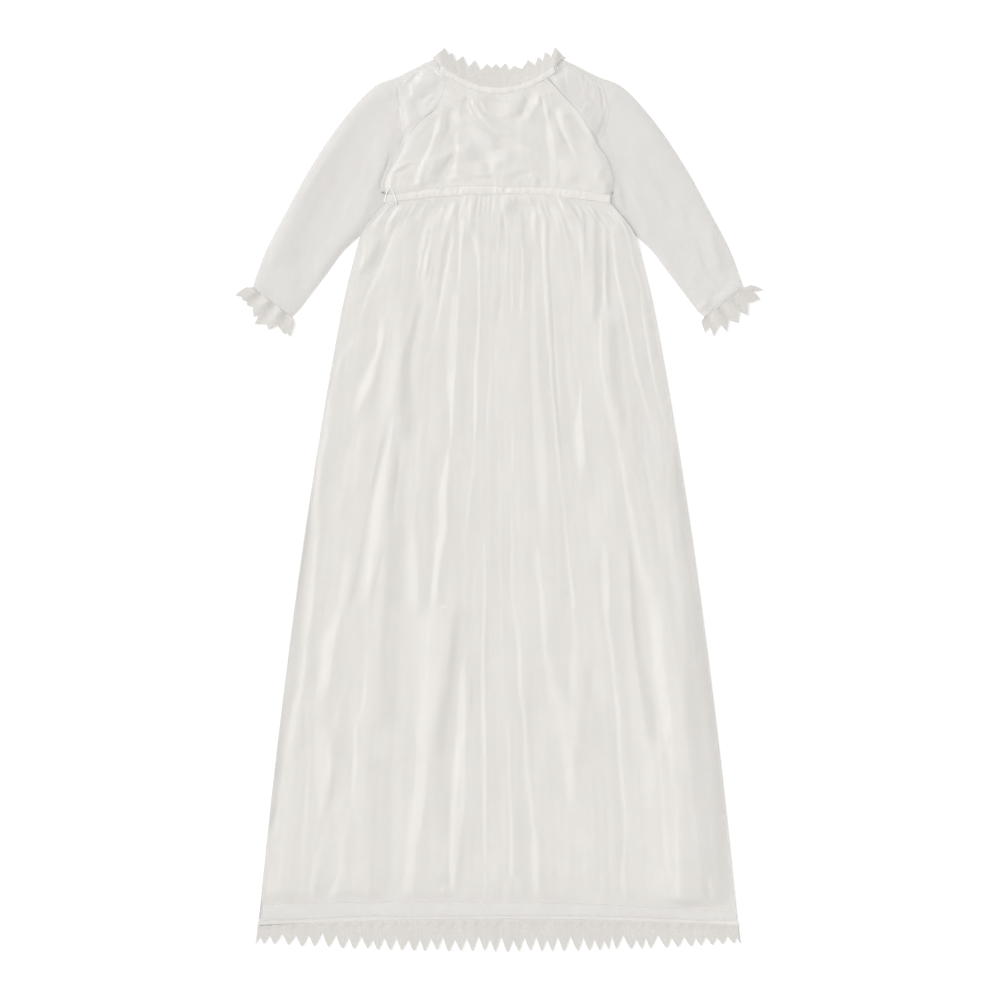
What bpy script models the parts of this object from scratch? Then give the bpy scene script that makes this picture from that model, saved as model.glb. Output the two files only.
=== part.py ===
"""Christening gown, laid flat on its back.

Units are metres with +Z up. The neck points to +Y, the gown lies on the plane Z = 0, and X = 0 is its
centre line. Sizes are written in millimetres and turned to metres where a mesh is made.

The gown is a sheer outer dress over a satin slip. Every layer is a wall of cloth, and the layers lie on each
other with a small gap: dress back, slip back, slip front, dress front. Panels are cloth between four edges.
Sleeves, bands and lace are rings pressed flat, whose front and back walls join at both ends.
"""

import math
from collections import namedtuple

import bmesh
import bpy
from mathutils import Matrix, Vector

# ---------------------------------------------------------------- sizes, mm

MM = 0.001
CLOTH = 1.0  # wall of one layer
GAP = 0.3  # between layers and along seams
BOUND = 2 * CLOTH + GAP  # a band that holds the dress and the slip in one edge

DRESS_BACK = 0.0  # height of each layer's underside
SLIP_BACK = CLOTH + GAP
SLIP_FRONT = 2 * (CLOTH + GAP)
DRESS_FRONT = 3 * (CLOTH + GAP)
DRESS_ON_DRESS = CLOTH + GAP  # dress front where no slip lies under it
SHOULDER_PIECE = 1.4  # slip shoulder pieces inside the sleeve heads

WAIST_HALF = 118.0
WAIST_END_Y = 320.0  # top of the waist band at its ends
WAIST_RISE = 9.5  # how much higher the band lies at the middle
BAND_HEIGHT = 9.0

HEM_HALF = 252.0
HEM_Y = -440.0
HEM_DROP = 6.5  # how much lower the hem lies at its ends

NECK_HALF = 61.0  # neck seam, lower edge of the binding
NECK_Y = 426.0
NECK_RISE = 23.0  # how much higher the neck seam is at its ends
BINDING_HEIGHT = 6.0
BINDING_TOP_HALF = 58.5
NECK_CORNER_X = 52.0  # where the raglan seams meet the neck

HEM_TIPS_HALF = 254.5
HEM_TIPS_Y = -475.0
HEM_TIPS_RISE = 9.0

HEM_TEETH = 40
CUFF_TEETH = 8
HEM_TOOTH = 0.32  # depth of a tooth as a share of its lace's height
CUFF_TOOTH = 0.42
# Half a tooth and its mirror image, as places along the tooth and their reach from the notch to the tip.
PLAIN_TOOTH = [(0.0, 0.0), (0.5, 1.0)]
LEAF_TOOTH = [(0.0, 0.0), (0.24, 0.55), (0.5, 1.0), (0.76, 0.55)]

SKIRT_COLUMNS = 56  # two for each gather
BODICE_COLUMNS = 28
SEAM_ROWS = 10  # rows of the bodice, and steps of the sleeve heads along the raglan seams
SLEEVE_ROWS = 10
BODICE_BACK_COLUMNS = 10
SKIRT_BACK_COLUMNS = 8
BINDING_COLUMNS = 24
SHOULDER_ROWS = 5
CUFF_STEPS = 12 * CUFF_TEETH

WAIST_GATHER = 3.0
WAIST_GATHER_LENGTH = 115.0
BODICE_GATHER = 1.4
BODICE_GATHER_LENGTH = 26.0
SLEEVE_GATHER = 1.3
CUFF_GATHER = 1.0  # more gather at the cuff
SHOULDER_GATHER = 0.5
CUFF_WAVES = 4
CUFF_WAVE = 2.6
BAND_PUCKER = 0.8
FOLD_ENDS = 14.0  # how far from a seam the long folds reach their full height
SLIP_EDGE_STEP = (10.0, 32.0)  # how far from the slip's edge a sleeve begins and ends its way down

Point = namedtuple("Point", "x y")
Side = namedtuple("Side", "y half_width")
Fold = namedtuple("Fold", "x0 y0 x1 y1 bend half_width height")

SKIRT_SIDE = [
    Side(310.7, 118.0),
    Side(300.0, 127.5),
    Side(280.0, 142.8),
    Side(250.0, 152.0),
    Side(200.0, 163.8),
    Side(120.0, 178.4),
    Side(30.0, 193.2),
    Side(-70.0, 208.0),
    Side(-180.0, 222.4),
    Side(-300.0, 236.6),
    Side(-429.5, 250.4),
    Side(-446.5, 252.0),
]

# The seams between sleeve and bodice, from the neck to the underarm.
RAGLAN = {
    -1: [
        Point(-52.0, 442.1),
        Point(-59.0, 424.0),
        Point(-66.0, 409.0),
        Point(-78.0, 400.0),
        Point(-88.0, 389.0),
        Point(-97.0, 378.0),
        Point(-102.0, 366.0),
        Point(-109.5, 354.0),
        Point(-116.5, 342.0),
        Point(-120.5, 330.0),
        Point(-119.0, 320.0),
    ],
    1: [
        Point(52.0, 442.1),
        Point(69.0, 423.0),
        Point(85.0, 405.5),
        Point(95.5, 389.0),
        Point(104.5, 372.0),
        Point(113.5, 359.0),
        Point(120.0, 340.0),
        Point(119.0, 320.0),
    ],
}

# Edges of a sleeve for the +X side. The fold runs from the neck over the shoulder to the cuff.
SLEEVE_FOLD = [
    Point(62.2, 453.5),
    Point(72.0, 456.8),
    Point(84.0, 455.5),
    Point(104.0, 445.5),
    Point(126.0, 435.5),
    Point(144.0, 420.0),
    Point(170.0, 388.5),
    Point(198.0, 346.0),
    Point(221.0, 304.0),
    Point(243.0, 262.0),
    Point(258.0, 222.0),
]
UNDERARM = [
    Point(119.0, 319.6),
    Point(126.0, 308.0),
    Point(145.0, 280.0),
    Point(161.0, 262.0),
    Point(177.0, 241.0),
    Point(193.0, 220.0),
    Point(209.0, 199.0),
    Point(217.0, 191.6),
]
CUFF_TIPS = [
    Point(277.0, 218.0),
    Point(271.5, 205.0),
    Point(261.5, 192.0),
    Point(250.0, 183.0),
    Point(238.0, 176.5),
    Point(226.0, 172.0),
    Point(215.0, 172.0),
]

SLEEVE_NECK = Point(61.4, 447.6)  # where the front of a sleeve head leaves the neck binding

# Edge of the neck frill: tips and the notches between them, with a corner over each shoulder.
NECK_EDGE = [
    Point(-81.9, 461.5),
    Point(-63.0, 472.0),
    Point(-55.7, 475.0),
    Point(-52.0, 466.5),
    Point(-48.3, 469.2),
    Point(-44.1, 459.4),
    Point(-36.8, 465.7),
    Point(-32.0, 453.1),
    Point(-24.2, 461.5),
    Point(-19.0, 449.5),
    Point(-11.6, 457.3),
    Point(-6.8, 452.5),
    Point(-2.1, 457.3),
    Point(2.1, 452.5),
    Point(7.9, 458.3),
    Point(11.0, 449.5),
    Point(16.8, 455.4),
    Point(25.2, 451.5),
    Point(31.5, 461.5),
    Point(38.8, 455.2),
    Point(41.9, 464.6),
    Point(47.0, 460.5),
    Point(49.4, 469.9),
    Point(56.2, 464.5),
    Point(59.4, 475.0),
    Point(76.5, 461.5),
]
FRILL_SPREAD = 1.075  # how much wider the frill is at its edge than at its root
FRILL_SPREAD_END = 60.0  # past here its edge turns outwards over the shoulder
FRILL_TURN = 0.12  # and its root follows by this share

# Outer edge of each slip shoulder piece, from the shoulder to its end on the raglan seam.
SHOULDER_EDGE = {
    -1: [Point(-105.0, 436.5), Point(-109.0, 427.0), Point(-106.0, 409.0), Point(-103.0, 392.0)],
    1: [Point(110.0, 434.0), Point(115.0, 416.0), Point(115.5, 402.0), Point(111.0, 386.0)],
}
SHOULDER_NECK = Point(62.5, 447.0)  # its other end beside the neck
SHOULDER_TOP = Point(84.0, 446.5)
SHOULDER_SEAM_STEPS = 6  # how many steps down the raglan seam a shoulder piece reaches

# Long soft folds. A fold runs from (x0, y0) to (x1, y1), bends sideways by bend at its middle, and eases out
# at both ends.
SKIRT_FOLDS = [
    Fold(-103, 330, -207, -215, -29, 8, 5.0),
    Fold(-123, 185, -158, 55, 0, 13, 5.0),
    Fold(-100, 170, -170, -145, 13, 9, 5.0),
    Fold(-48, 260, -92, 15, 4, 7, 4.0),
    Fold(-38, 330, -70, -125, 6, 7, 4.0),
    Fold(-28, 300, -38, -232, 7, 6, 4.0),
    Fold(-78, 15, -80, -245, 0, 17, 5.0),
    Fold(-15, -40, -15, -425, 0, 6, 2.5),
    Fold(15, 300, 26, -232, -5, 6, 3.0),
    Fold(36, 230, 45, -15, 0, 11, 4.0),
    Fold(47, 330, 81, -232, -2, 7, 4.0),
    Fold(83, 148, 92, -85, 0, 9, 4.0),
    Fold(112, 300, 126, 60, -9, 7, 4.0),
    Fold(122, 310, 164, 75, -8, 7, 4.0),
    Fold(133, 295, 182, 65, 0, 7, 4.0),
    Fold(132, 30, 175, -210, 0, 8, 4.0),
    Fold(112, -48, 134, -428, 2, 8, 4.0),
    Fold(170, 50, 178, -80, 0, 12, 3.0),
    Fold(175, -210, 183, -428, 0, 9, 4.0),
    Fold(-135, -185, -163, -375, 0, 8, 4.0),
    Fold(-75, -205, -98, -423, 0, 14, 5.0),
    Fold(-176, -225, -196, -423, 0, 10, 4.0),
    Fold(-200, -211, -205, -380, 0, 8, 3.0),
    Fold(-43, -211, -46, -412, 0, 8, 3.0),
    Fold(26, -219, 42, -427, 0, 7, 3.0),
    Fold(68, -185, 74, -335, 0, 13, 4.0),
]
BODICE_FOLDS = [
    Fold(-62, 412, -86, 328, 0, 5, 3.0),
    Fold(-45, 388, -56, 335, 0, 5, 3.0),
    Fold(-44, 420, -44, 384, 0, 8, 2.5),
    Fold(-29, 428, -6, 389, -3, 4.5, 2.5),
    Fold(-14, 389, 31, 373, 0, 4.5, 2.0),
    Fold(-14, 377, -8, 332, 0, 5, 2.5),
    Fold(44, 428, 79, 362, 0, 5, 3.0),
    Fold(58, 393, 58, 318, 0, 5, 2.5),
    Fold(88, 380, 97, 334, 0, 6, 2.5),
    Fold(-94, 368, -102, 334, 0, 5, 2.0),
]

SHEER = (0.80, 0.76, 0.72)
SATIN = (0.83, 0.79, 0.74)
LACE = (0.78, 0.73, 0.68)

# ---------------------------------------------------------------- curves and grids


def ease(t):
    """Smooth step from 0 at t = 0 to 1 at t = 1."""
    t = min(max(t, 0.0), 1.0)
    return t * t * (3.0 - 2.0 * t)


def mix(a, b, t):
    return a + (b - a) * t


def smooth_path(points, steps, per_span=12):
    """A smooth curve through the points, cut into equal steps. Returns steps + 1 vectors."""
    knots = [Vector(p) for p in points]
    knots = [2 * knots[0] - knots[1]] + knots + [2 * knots[-1] - knots[-2]]
    fine = []
    for a, b, c, d in zip(knots, knots[1:], knots[2:], knots[3:]):
        square, cube = 2 * a - 5 * b + 4 * c - d, 3 * b - a - 3 * c + d
        for k in range(per_span):
            t = k / per_span
            fine.append(0.5 * (2 * b + (c - a) * t + square * t**2 + cube * t**3))
    fine.append(knots[-2])
    lengths = [0.0]
    for a, b in zip(fine, fine[1:]):
        lengths.append(lengths[-1] + (b - a).length)
    path, k = [], 0
    for i in range(steps + 1):
        want = lengths[-1] * i / steps
        while k < len(fine) - 2 and lengths[k + 1] < want:
            k += 1
        path.append(fine[k].lerp(fine[k + 1], (want - lengths[k]) / (lengths[k + 1] - lengths[k])))
    return path


def shares(path):
    """How far along the path each of its points is, from 0 to 1."""
    run = [0.0]
    for a, b in zip(path, path[1:]):
        run.append(run[-1] + (b - a).length)
    return [r / run[-1] for r in run]


def cloth_between(top, foot, left, right):
    """A grid of points filled in between four edges that share their corners. grid[row][column]."""
    down, across = shares(left), shares(top)
    grid = []
    for i, s in enumerate(down):
        row = []
        for j, v in enumerate(across):
            sides = mix(left[i], right[i], v)
            ends = mix(top[j], foot[j], s)
            corners = mix(mix(top[0], top[-1], v), mix(foot[0], foot[-1], v), s)
            row.append(sides + ends - corners)
        grid.append(row)
    return grid


def fold_height(x, y, folds):
    """Height that the folds add at a place."""
    height = 0.0
    for f in folds:
        run = Vector((f.x1 - f.x0, f.y1 - f.y0))
        away = Vector((x - f.x0, y - f.y0))
        t = away.dot(run) / run.length_squared
        if 0.0 < t < 1.0:
            beside = away.dot(Vector((-run.y, run.x)).normalized()) - f.bend * 4 * t * (1 - t)
            soft_ends = ease(t / 0.2) * ease((1 - t) / 0.2)
            height += f.height * soft_ends * math.exp(-((beside / f.half_width) ** 2))
    return height


def gather(column, columns, depth):
    """Alternate crests and troughs, one crest for every second column, none at the two edges."""
    uneven = 0.75 + 0.25 * math.sin(column * 1.9)
    return depth * uneven if column % 2 and 0 < column < columns else 0.0


def neck_line(t):
    """Lower edge of the neck binding, t from -1 at -X to 1 at +X."""
    return Vector((NECK_HALF * t, NECK_Y + NECK_RISE * t * t))


def neck_line_top(t):
    return Vector((BINDING_TOP_HALF * t, NECK_Y + BINDING_HEIGHT + NECK_RISE * t * t))


def waist_line(t, below=0.0):
    return Vector((WAIST_HALF * t, WAIST_END_Y + WAIST_RISE * (1 - t * t) - below))


def hem_line(t):
    return Vector((HEM_HALF * t, HEM_Y - HEM_DROP * t * t))


def spread(line, columns, first=-1.0, last=1.0):
    return [line(mix(first, last, j / columns)) for j in range(columns + 1)]


# ---------------------------------------------------------------- meshes


def material(name, colour):
    m = bpy.data.materials.new(name)
    m.use_nodes = True
    shader = m.node_tree.nodes["Principled BSDF"]
    shader.inputs["Base Color"].default_value = (*colour, 1.0)
    shader.inputs["Roughness"].default_value = 0.35 if colour == SATIN else 0.8
    shader.inputs["Metallic"].default_value = 0.0
    m.diffuse_color = (*colour, 1.0)
    return m


def finish(bm, name, colour, origin):
    """Make a mesh object from bm, whose points are in mm in the gown's frame. The object sits at origin."""
    bmesh.ops.recalc_face_normals(bm, faces=bm.faces[:])
    bm.transform(Matrix.Scale(MM, 4) @ Matrix.Translation(-Vector(origin)))
    mesh = bpy.data.meshes.new(name)
    bm.to_mesh(mesh)
    bm.free()
    mesh.materials.append(material(name + "_cloth", colour))
    piece = bpy.data.objects.new(name, mesh)
    piece.location = Vector(origin) * MM
    piece.parent = gown
    pieces.objects.link(piece)
    return piece


def sheet(points):
    """A triangulated surface through grid[row][column] of 3D points."""
    rows, columns = len(points) - 1, len(points[0]) - 1
    bm = bmesh.new()
    bmesh.ops.create_grid(bm, x_segments=columns, y_segments=rows, size=0.5)
    for v in bm.verts:
        v.co = points[round((0.5 - v.co.y) * rows)][round((v.co.x + 0.5) * columns)]
    return bm


def panel(name, colour, points, origin, thickness=CLOTH):
    """A wall of cloth with its underside through grid[row][column] of 3D points."""
    bm = sheet(points)
    bmesh.ops.triangulate(bm, faces=bm.faces[:], quad_method="SHORT_EDGE")
    upper = bmesh.ops.extrude_face_region(bm, geom=bm.faces[:])["geom"]
    raised = [v for v in upper if isinstance(v, bmesh.types.BMVert)]
    bmesh.ops.translate(bm, vec=(0, 0, thickness), verts=raised)
    return finish(bm, name, colour, origin)


def flat_ring(name, colour, rows, origin, thickness=CLOTH, back_step=1, flared=False):
    """A ring of cloth pressed flat. Each row has the underside of its front wall as 3D points, end to end.
    The back wall lies on the ground under every back_step-th place. Both walls join at the two ends of each
    row, as thick there as the cloth along the row, or along the last row if the ring is flared."""
    outer, inner = [], []
    for front in rows:
        back = [Vector((p.x, p.y, DRESS_BACK)) for p in front[::back_step]]
        up = Vector((0, 0, thickness))
        outer.append(back + [p + up for p in reversed(front)])
        run = rows[-1] if flared else front
        first = (run[1] - run[0]).to_2d().normalized().to_3d() * thickness
        last = (run[-2] - run[-1]).to_2d().normalized().to_3d() * thickness
        hollow_floor = [back[0] + up + first, *[p + up for p in back[1:-1]], back[-1] + up + last]
        hollow_roof = [front[0] + first, *front[1:-1], front[-1] + last]
        inner.append(hollow_floor + hollow_roof[::-1])
    loops = [loop + loop[:1] for loop in outer + inner[::-1] + outer[:1]]
    bm = sheet(loops)
    bmesh.ops.triangulate(bm, faces=bm.faces[:], quad_method="SHORT_EDGE")
    bmesh.ops.remove_doubles(bm, verts=bm.verts[:], dist=0.01)
    return finish(bm, name, colour, origin)


def lifted(grid, height):
    """The grid as 3D points, with height(row, column, point) for each."""
    return [[Vector((*p, height(i, j, p))) for j, p in enumerate(row)] for i, row in enumerate(grid)]


def toothed(root, tips, teeth, depth, tooth):
    """Two rows of places for pointed lace: its root, and its edge with a notch between each two teeth."""
    places = [((k + a) / teeth, reach) for k in range(teeth) for a, reach in tooth] + [(1.0, 0.0)]
    roots = [root(t) for t, _ in places]
    edge = [mix(root(t), tips(t), 1 - depth * (1 - reach)) for t, reach in places]
    return roots, edge


# ---------------------------------------------------------------- pieces


def bodice_grid(columns):
    """Places between the two raglan seams, the neck binding and the waist band."""
    edge = {side: smooth_path(RAGLAN[side], SEAM_ROWS) for side in (-1, 1)}
    inset = Vector((GAP, 0))
    left = [p + inset for p in edge[-1]]
    right = [p - inset for p in edge[1]]
    reach = NECK_CORNER_X / NECK_HALF
    top = [p - Vector((0, 1.5 * GAP)) for p in spread(neck_line, columns, -reach, reach)]
    foot = [p + Vector((0, GAP)) for p in spread(waist_line, columns)]
    top[0], top[-1] = left[0], right[0]
    left[-1], right[-1] = foot[0], foot[-1]
    return cloth_between(top, foot, left, right)


def bodice():
    front, back = bodice_grid(BODICE_COLUMNS), bodice_grid(BODICE_BACK_COLUMNS)
    origin = (0, WAIST_END_Y, 0)

    def folds(i, j, p):
        side = min(j, BODICE_COLUMNS - j) / BODICE_COLUMNS
        from_neck, from_waist = abs(p.y - front[0][j].y), abs(p.y - front[-1][j].y)
        fade = max(1 - from_neck / BODICE_GATHER_LENGTH, 1 - from_waist / BODICE_GATHER_LENGTH, 0)
        soft = fold_height(p.x, p.y, BODICE_FOLDS) * ease(side / 0.07)
        return soft * ease(from_neck / 6) + gather(j, BODICE_COLUMNS, BODICE_GATHER) * fade

    for name, colour, base in (("slip_bodice", SATIN, SLIP_FRONT), ("bodice", SHEER, DRESS_FRONT)):
        wall = lifted(front, lambda i, j, p: base + folds(i, j, p))
        panel(name + "_front", colour, wall, origin)
    for name, colour, base in (("slip_bodice", SATIN, SLIP_BACK), ("bodice", SHEER, DRESS_BACK)):
        panel(name + "_back", colour, lifted(back, lambda i, j, p: base), origin)


def skirt_grid(columns):
    """Places of a skirt panel from the waist band to the hem. The last row but one is the slip's hem."""
    left = [Vector((-s.half_width, s.y)) for s in SKIRT_SIDE]
    right = [Vector((s.half_width, s.y)) for s in SKIRT_SIDE]
    top = [waist_line(t, BAND_HEIGHT + GAP) for t in (mix(-1, 1, j / columns) for j in range(columns + 1))]
    foot = spread(hem_line, columns)
    return cloth_between(top, foot, left, right)


def skirt():
    front, back = skirt_grid(SKIRT_COLUMNS), skirt_grid(SKIRT_BACK_COLUMNS)
    origin = (0, WAIST_END_Y, 0)
    last_row = len(front) - 1

    def folds(i, j, p):
        if i == last_row:
            return 0.0
        down = front[0][j].y - p.y
        near_edge = min(j, SKIRT_COLUMNS - j)
        soft = fold_height(p.x, p.y, SKIRT_FOLDS) * ease((near_edge - 0.5) / 2)
        gathers = gather(j, SKIRT_COLUMNS, WAIST_GATHER) * ease(1 - down / WAIST_GATHER_LENGTH)
        return soft * ease(down / FOLD_ENDS) + gathers

    def dress(i, j, p):
        if j in (0, SKIRT_COLUMNS) or i == last_row:
            return DRESS_ON_DRESS
        return DRESS_FRONT + folds(i, j, p)

    panel("skirt_front", SHEER, lifted(front, dress), origin)
    panel("skirt_back", SHEER, lifted(back, lambda i, j, p: DRESS_BACK), origin)
    slip = [row[1:-1] for row in front[:-1]]
    panel("slip_skirt_front", SATIN, lifted(slip, lambda i, j, p: SLIP_FRONT + folds(i, j + 1, p)), origin)
    ends = [[row[0]] + row[4:-4:4] + [row[-1]] for row in slip]
    panel("slip_skirt_back", SATIN, lifted(ends, lambda i, j, p: SLIP_BACK), origin)


def to_segment(p, a, b):
    """Distance from p to the line between a and b."""
    run = b - a
    t = min(max((p - a).dot(run) / run.length_squared, 0.0), 1.0)
    return (p - a - run * t).length


def shoulder_edges(side):
    """The four edges of a slip shoulder piece, from the neck outwards."""
    off_seam = Vector((side * GAP, 0))
    at_seam = [p + off_seam for p in smooth_path(RAGLAN[side], SEAM_ROWS)[: SHOULDER_SEAM_STEPS + 1]]
    outer = smooth_path([*SHOULDER_EDGE[side], at_seam[-1]], SHOULDER_ROWS)
    start = Point(side * SHOULDER_NECK.x, SHOULDER_NECK.y)
    neck = smooth_path([start, at_seam[0]], SHOULDER_ROWS)
    over = smooth_path([start, Point(side * SHOULDER_TOP.x, SHOULDER_TOP.y), outer[0]], SHOULDER_SEAM_STEPS)
    return neck, outer, over, at_seam


def slip_shoulder(side, name):
    neck, outer, over, at_seam = shoulder_edges(side)
    places = cloth_between(neck, outer, over, at_seam)
    last = len(neck) - 1
    wall = lifted(places, lambda i, j, p: SHOULDER_PIECE + gather(j, last, SHOULDER_GATHER) * ease(i / 2))
    panel(name, SATIN, wall, (side * NECK_CORNER_X, NECK_Y, 0))


def sleeve(side, name):
    """One raglan sleeve as a flat tube, open at its head along the neck and the raglan seam."""
    mirror = Matrix.Diagonal((side, 1)).to_2x2()
    off_seam = Vector((side * GAP, 0))
    fold_edge = [mirror @ p for p in smooth_path(SLEEVE_FOLD, SLEEVE_ROWS)]
    under_edge = [mirror @ p for p in smooth_path(UNDERARM, SLEEVE_ROWS)]
    seam = [p + off_seam for p in smooth_path(RAGLAN[side], SEAM_ROWS)]
    under_edge[0] = seam[-1]
    head = [fold_edge[0], mirror @ Vector(SLEEVE_NECK), *seam]
    steps = len(head) - 1
    cuff = [mix(fold_edge[-1], under_edge[-1], j / steps) for j in range(steps + 1)]
    places = cloth_between(head, cuff, fold_edge, under_edge)
    slip_edge = shoulder_edges(side)[1] + seam[SHOULDER_SEAM_STEPS + 1 :]
    near, far = SLIP_EDGE_STEP

    def height(i, j, p):
        if i == 0:
            return DRESS_FRONT
        away = min(to_segment(p, a, b) for a, b in zip(slip_edge, slip_edge[1:]))
        inside = i <= 2 and abs(p.x) < abs(slip_edge[0].x)
        on_slip = 1.0 if inside else 1 - ease((away - near) / (far - near))
        depth = SLEEVE_GATHER + CUFF_GATHER * ease(3 * i / SLEEVE_ROWS - 2)
        return mix(DRESS_ON_DRESS, DRESS_FRONT, on_slip) + gather(j, steps, depth)

    flat_ring(name, SHEER, lifted(places, height), (side * WAIST_HALF, WAIST_END_Y, 0))


def waist_band():
    def row(below):
        line = [waist_line(mix(-1, 1, j / SKIRT_COLUMNS), below) for j in range(SKIRT_COLUMNS + 1)]
        heights = [SLIP_FRONT + gather(j, SKIRT_COLUMNS, BAND_PUCKER) for j in range(SKIRT_COLUMNS + 1)]
        return [Vector((*p, z)) for p, z in zip(line, heights)]

    rows = [row(GAP / 2), row(BAND_HEIGHT - GAP / 2)]
    flat_ring("waist_band", SATIN, rows, (0, WAIST_END_Y, 0), BOUND, 4)


def neck_binding():
    rows = [spread(line, BINDING_COLUMNS) for line in (neck_line, neck_line_top)]
    rows = [[Vector((*p, SLIP_FRONT)) for p in row] for row in rows]
    flat_ring("neck_binding", SHEER, rows, (0, NECK_Y, 0), BOUND, 2)


def neck_lace():
    """The pointed frill above the binding. Its ends turn outwards over the shoulders."""

    def root(x):
        across = min(abs(x), FRILL_SPREAD_END) / FRILL_SPREAD + max(abs(x) - FRILL_SPREAD_END, 0) * FRILL_TURN
        return neck_line_top(math.copysign(across, x) / BINDING_TOP_HALF) + Vector((0, GAP))

    roots = [Vector((*root(p.x), SLIP_FRONT)) for p in NECK_EDGE]
    edge = [Vector((*p, DRESS_ON_DRESS)) for p in NECK_EDGE]
    flat_ring("neck_lace", LACE, [roots, edge], (0, NECK_Y, 0), flared=True)


def hem_lace():
    def root(t):
        return hem_line(mix(-1, 1, t)) - Vector((0, GAP))

    def tips(t):
        u = mix(-1, 1, t)
        return Vector((HEM_TIPS_HALF * u, HEM_TIPS_Y + HEM_TIPS_RISE * u * u))

    rows = toothed(root, tips, HEM_TEETH, HEM_TOOTH, PLAIN_TOOTH)
    rows = [[Vector((*p, DRESS_ON_DRESS)) for p in row] for row in rows]
    flat_ring("hem_lace", LACE, rows, (0, HEM_Y, 0))


def cuff_lace(side, name):
    """A flared frill round the cuff, its front thrown up in soft waves."""
    mirror = Matrix.Diagonal((side, 1)).to_2x2()
    tip_path = smooth_path(CUFF_TIPS, CUFF_STEPS)
    ends = Vector(SLEEVE_FOLD[-1]), Vector(UNDERARM[-1])
    clear = (ends[1] - ends[0]).orthogonal().normalized()
    clear = clear if clear.y < 0 else -clear

    def root(t):
        return mix(*ends, t) + clear * GAP

    def tips(t):
        return tip_path[round(t * CUFF_STEPS)]

    roots, edge = toothed(root, tips, CUFF_TEETH, CUFF_TOOTH, LEAF_TOOTH)
    rows = [roots, [mix(a, b, 0.5) for a, b in zip(roots, edge)], edge]
    last = len(roots) - 1

    def height(i, j, p):
        wave = 0.5 - 0.5 * math.cos(2 * math.pi * CUFF_WAVES * j / last)
        return DRESS_ON_DRESS + CUFF_WAVE * wave * (0.4, 0.8, 1.0)[i]

    rows = lifted([[mirror @ p for p in row] for row in rows], height)
    flat_ring(name, LACE, rows, (side * SLEEVE_FOLD[-1].x, SLEEVE_FOLD[-1].y, 0))


for old in list(bpy.data.objects):
    bpy.data.objects.remove(old)
pieces = bpy.data.collections.new("christening_gown")
bpy.context.scene.collection.children.link(pieces)
gown = bpy.data.objects.new("gown", None)
pieces.objects.link(gown)

bodice()
skirt()
waist_band()
for hand, word in ((-1, "left"), (1, "right")):
    sleeve(hand, "sleeve_" + word)
    slip_shoulder(hand, "slip_shoulder_" + word)
    cuff_lace(hand, "cuff_lace_" + word)
neck_binding()
neck_lace()
hem_lace()
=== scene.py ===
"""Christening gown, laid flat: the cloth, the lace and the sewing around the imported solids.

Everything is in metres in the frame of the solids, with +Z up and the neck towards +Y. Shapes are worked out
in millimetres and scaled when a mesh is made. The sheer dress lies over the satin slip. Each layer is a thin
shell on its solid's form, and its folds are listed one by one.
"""

import math
from collections import namedtuple

import bmesh
import bpy
import numpy as np
from mathutils import Matrix, Vector


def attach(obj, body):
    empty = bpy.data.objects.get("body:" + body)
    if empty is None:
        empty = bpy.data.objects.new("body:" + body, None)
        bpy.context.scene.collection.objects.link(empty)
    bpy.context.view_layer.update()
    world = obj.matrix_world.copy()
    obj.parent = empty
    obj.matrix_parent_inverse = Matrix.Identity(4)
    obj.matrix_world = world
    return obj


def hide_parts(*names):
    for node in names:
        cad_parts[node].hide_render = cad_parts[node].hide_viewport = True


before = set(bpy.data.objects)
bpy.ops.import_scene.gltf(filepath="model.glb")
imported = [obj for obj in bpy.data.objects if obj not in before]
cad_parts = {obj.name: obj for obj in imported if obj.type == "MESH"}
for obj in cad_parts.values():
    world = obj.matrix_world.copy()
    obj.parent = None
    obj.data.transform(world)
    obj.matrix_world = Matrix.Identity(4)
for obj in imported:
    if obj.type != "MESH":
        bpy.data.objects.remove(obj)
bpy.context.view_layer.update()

MM = 0.001

# ---------------------------------------------------------------- sizes, mm

DRESS_BACK = 0.05  # height of each layer's underside
SLIP_BACK = 1.1
SLIP_BACK_EDGE = 0.36  # the slip's back where it lies down on the dress's back
SLIP_EDGE = 0.4  # an edge of the slip's front or of a shoulder piece where it lies down
SLIP_FRONT = 3.2  # close under the dress front, where its folds carry it
DRESS_FRONT = 3.6
SLEEVE_FRONT = 1.5  # a sleeve where no slip lies in it
SHOULDER_PIECE = 1.4
TUCK = 1.5  # one cloth goes this far under the next at a seam
HEM_LEVEL = 1.9  # underside of the dress front at its hem
LEFT_LEVEL = 4.1  # the same at its left side
RIGHT_LEVEL = 1.0  # and at its right side
LIFT = 0.9  # the folds of a front rise and sink from this far above its level
SEAM_HEIGHT = 4.3  # where the dress's pieces meet
CUFF_SEAM_HEIGHT = 2.2

ORGANZA = 0.28  # thickness of each cloth, drawn thicker than it is so that its edges show
SATIN = 0.25
LACE = 0.5
FOLDED_EDGE = 0.4  # waist band and neck binding
HEM_TURNING = 0.2
FOLD_RADIUS = 0.3  # how far a ring's side folds stand out

BODICE_GRID = (100, 200)  # rows and columns of each cloth
BODICE_BACK_GRID = (30, 60)
SKIRT_GRID = (136, 350)
SKIRT_BACK_GRID = (60, 60)
SLEEVE_GRID = (140, 90)
SHOULDER_STEPS = 60
SEAM_STEPS = 60  # of a raglan seam
BAND_COLUMNS = 300
BINDING_COLUMNS = 120

WAIST_HALF = 118.0
WAIST_END_Y = 320.0
WAIST_RISE = 9.5
BAND_HEIGHT = 9.0

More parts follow.
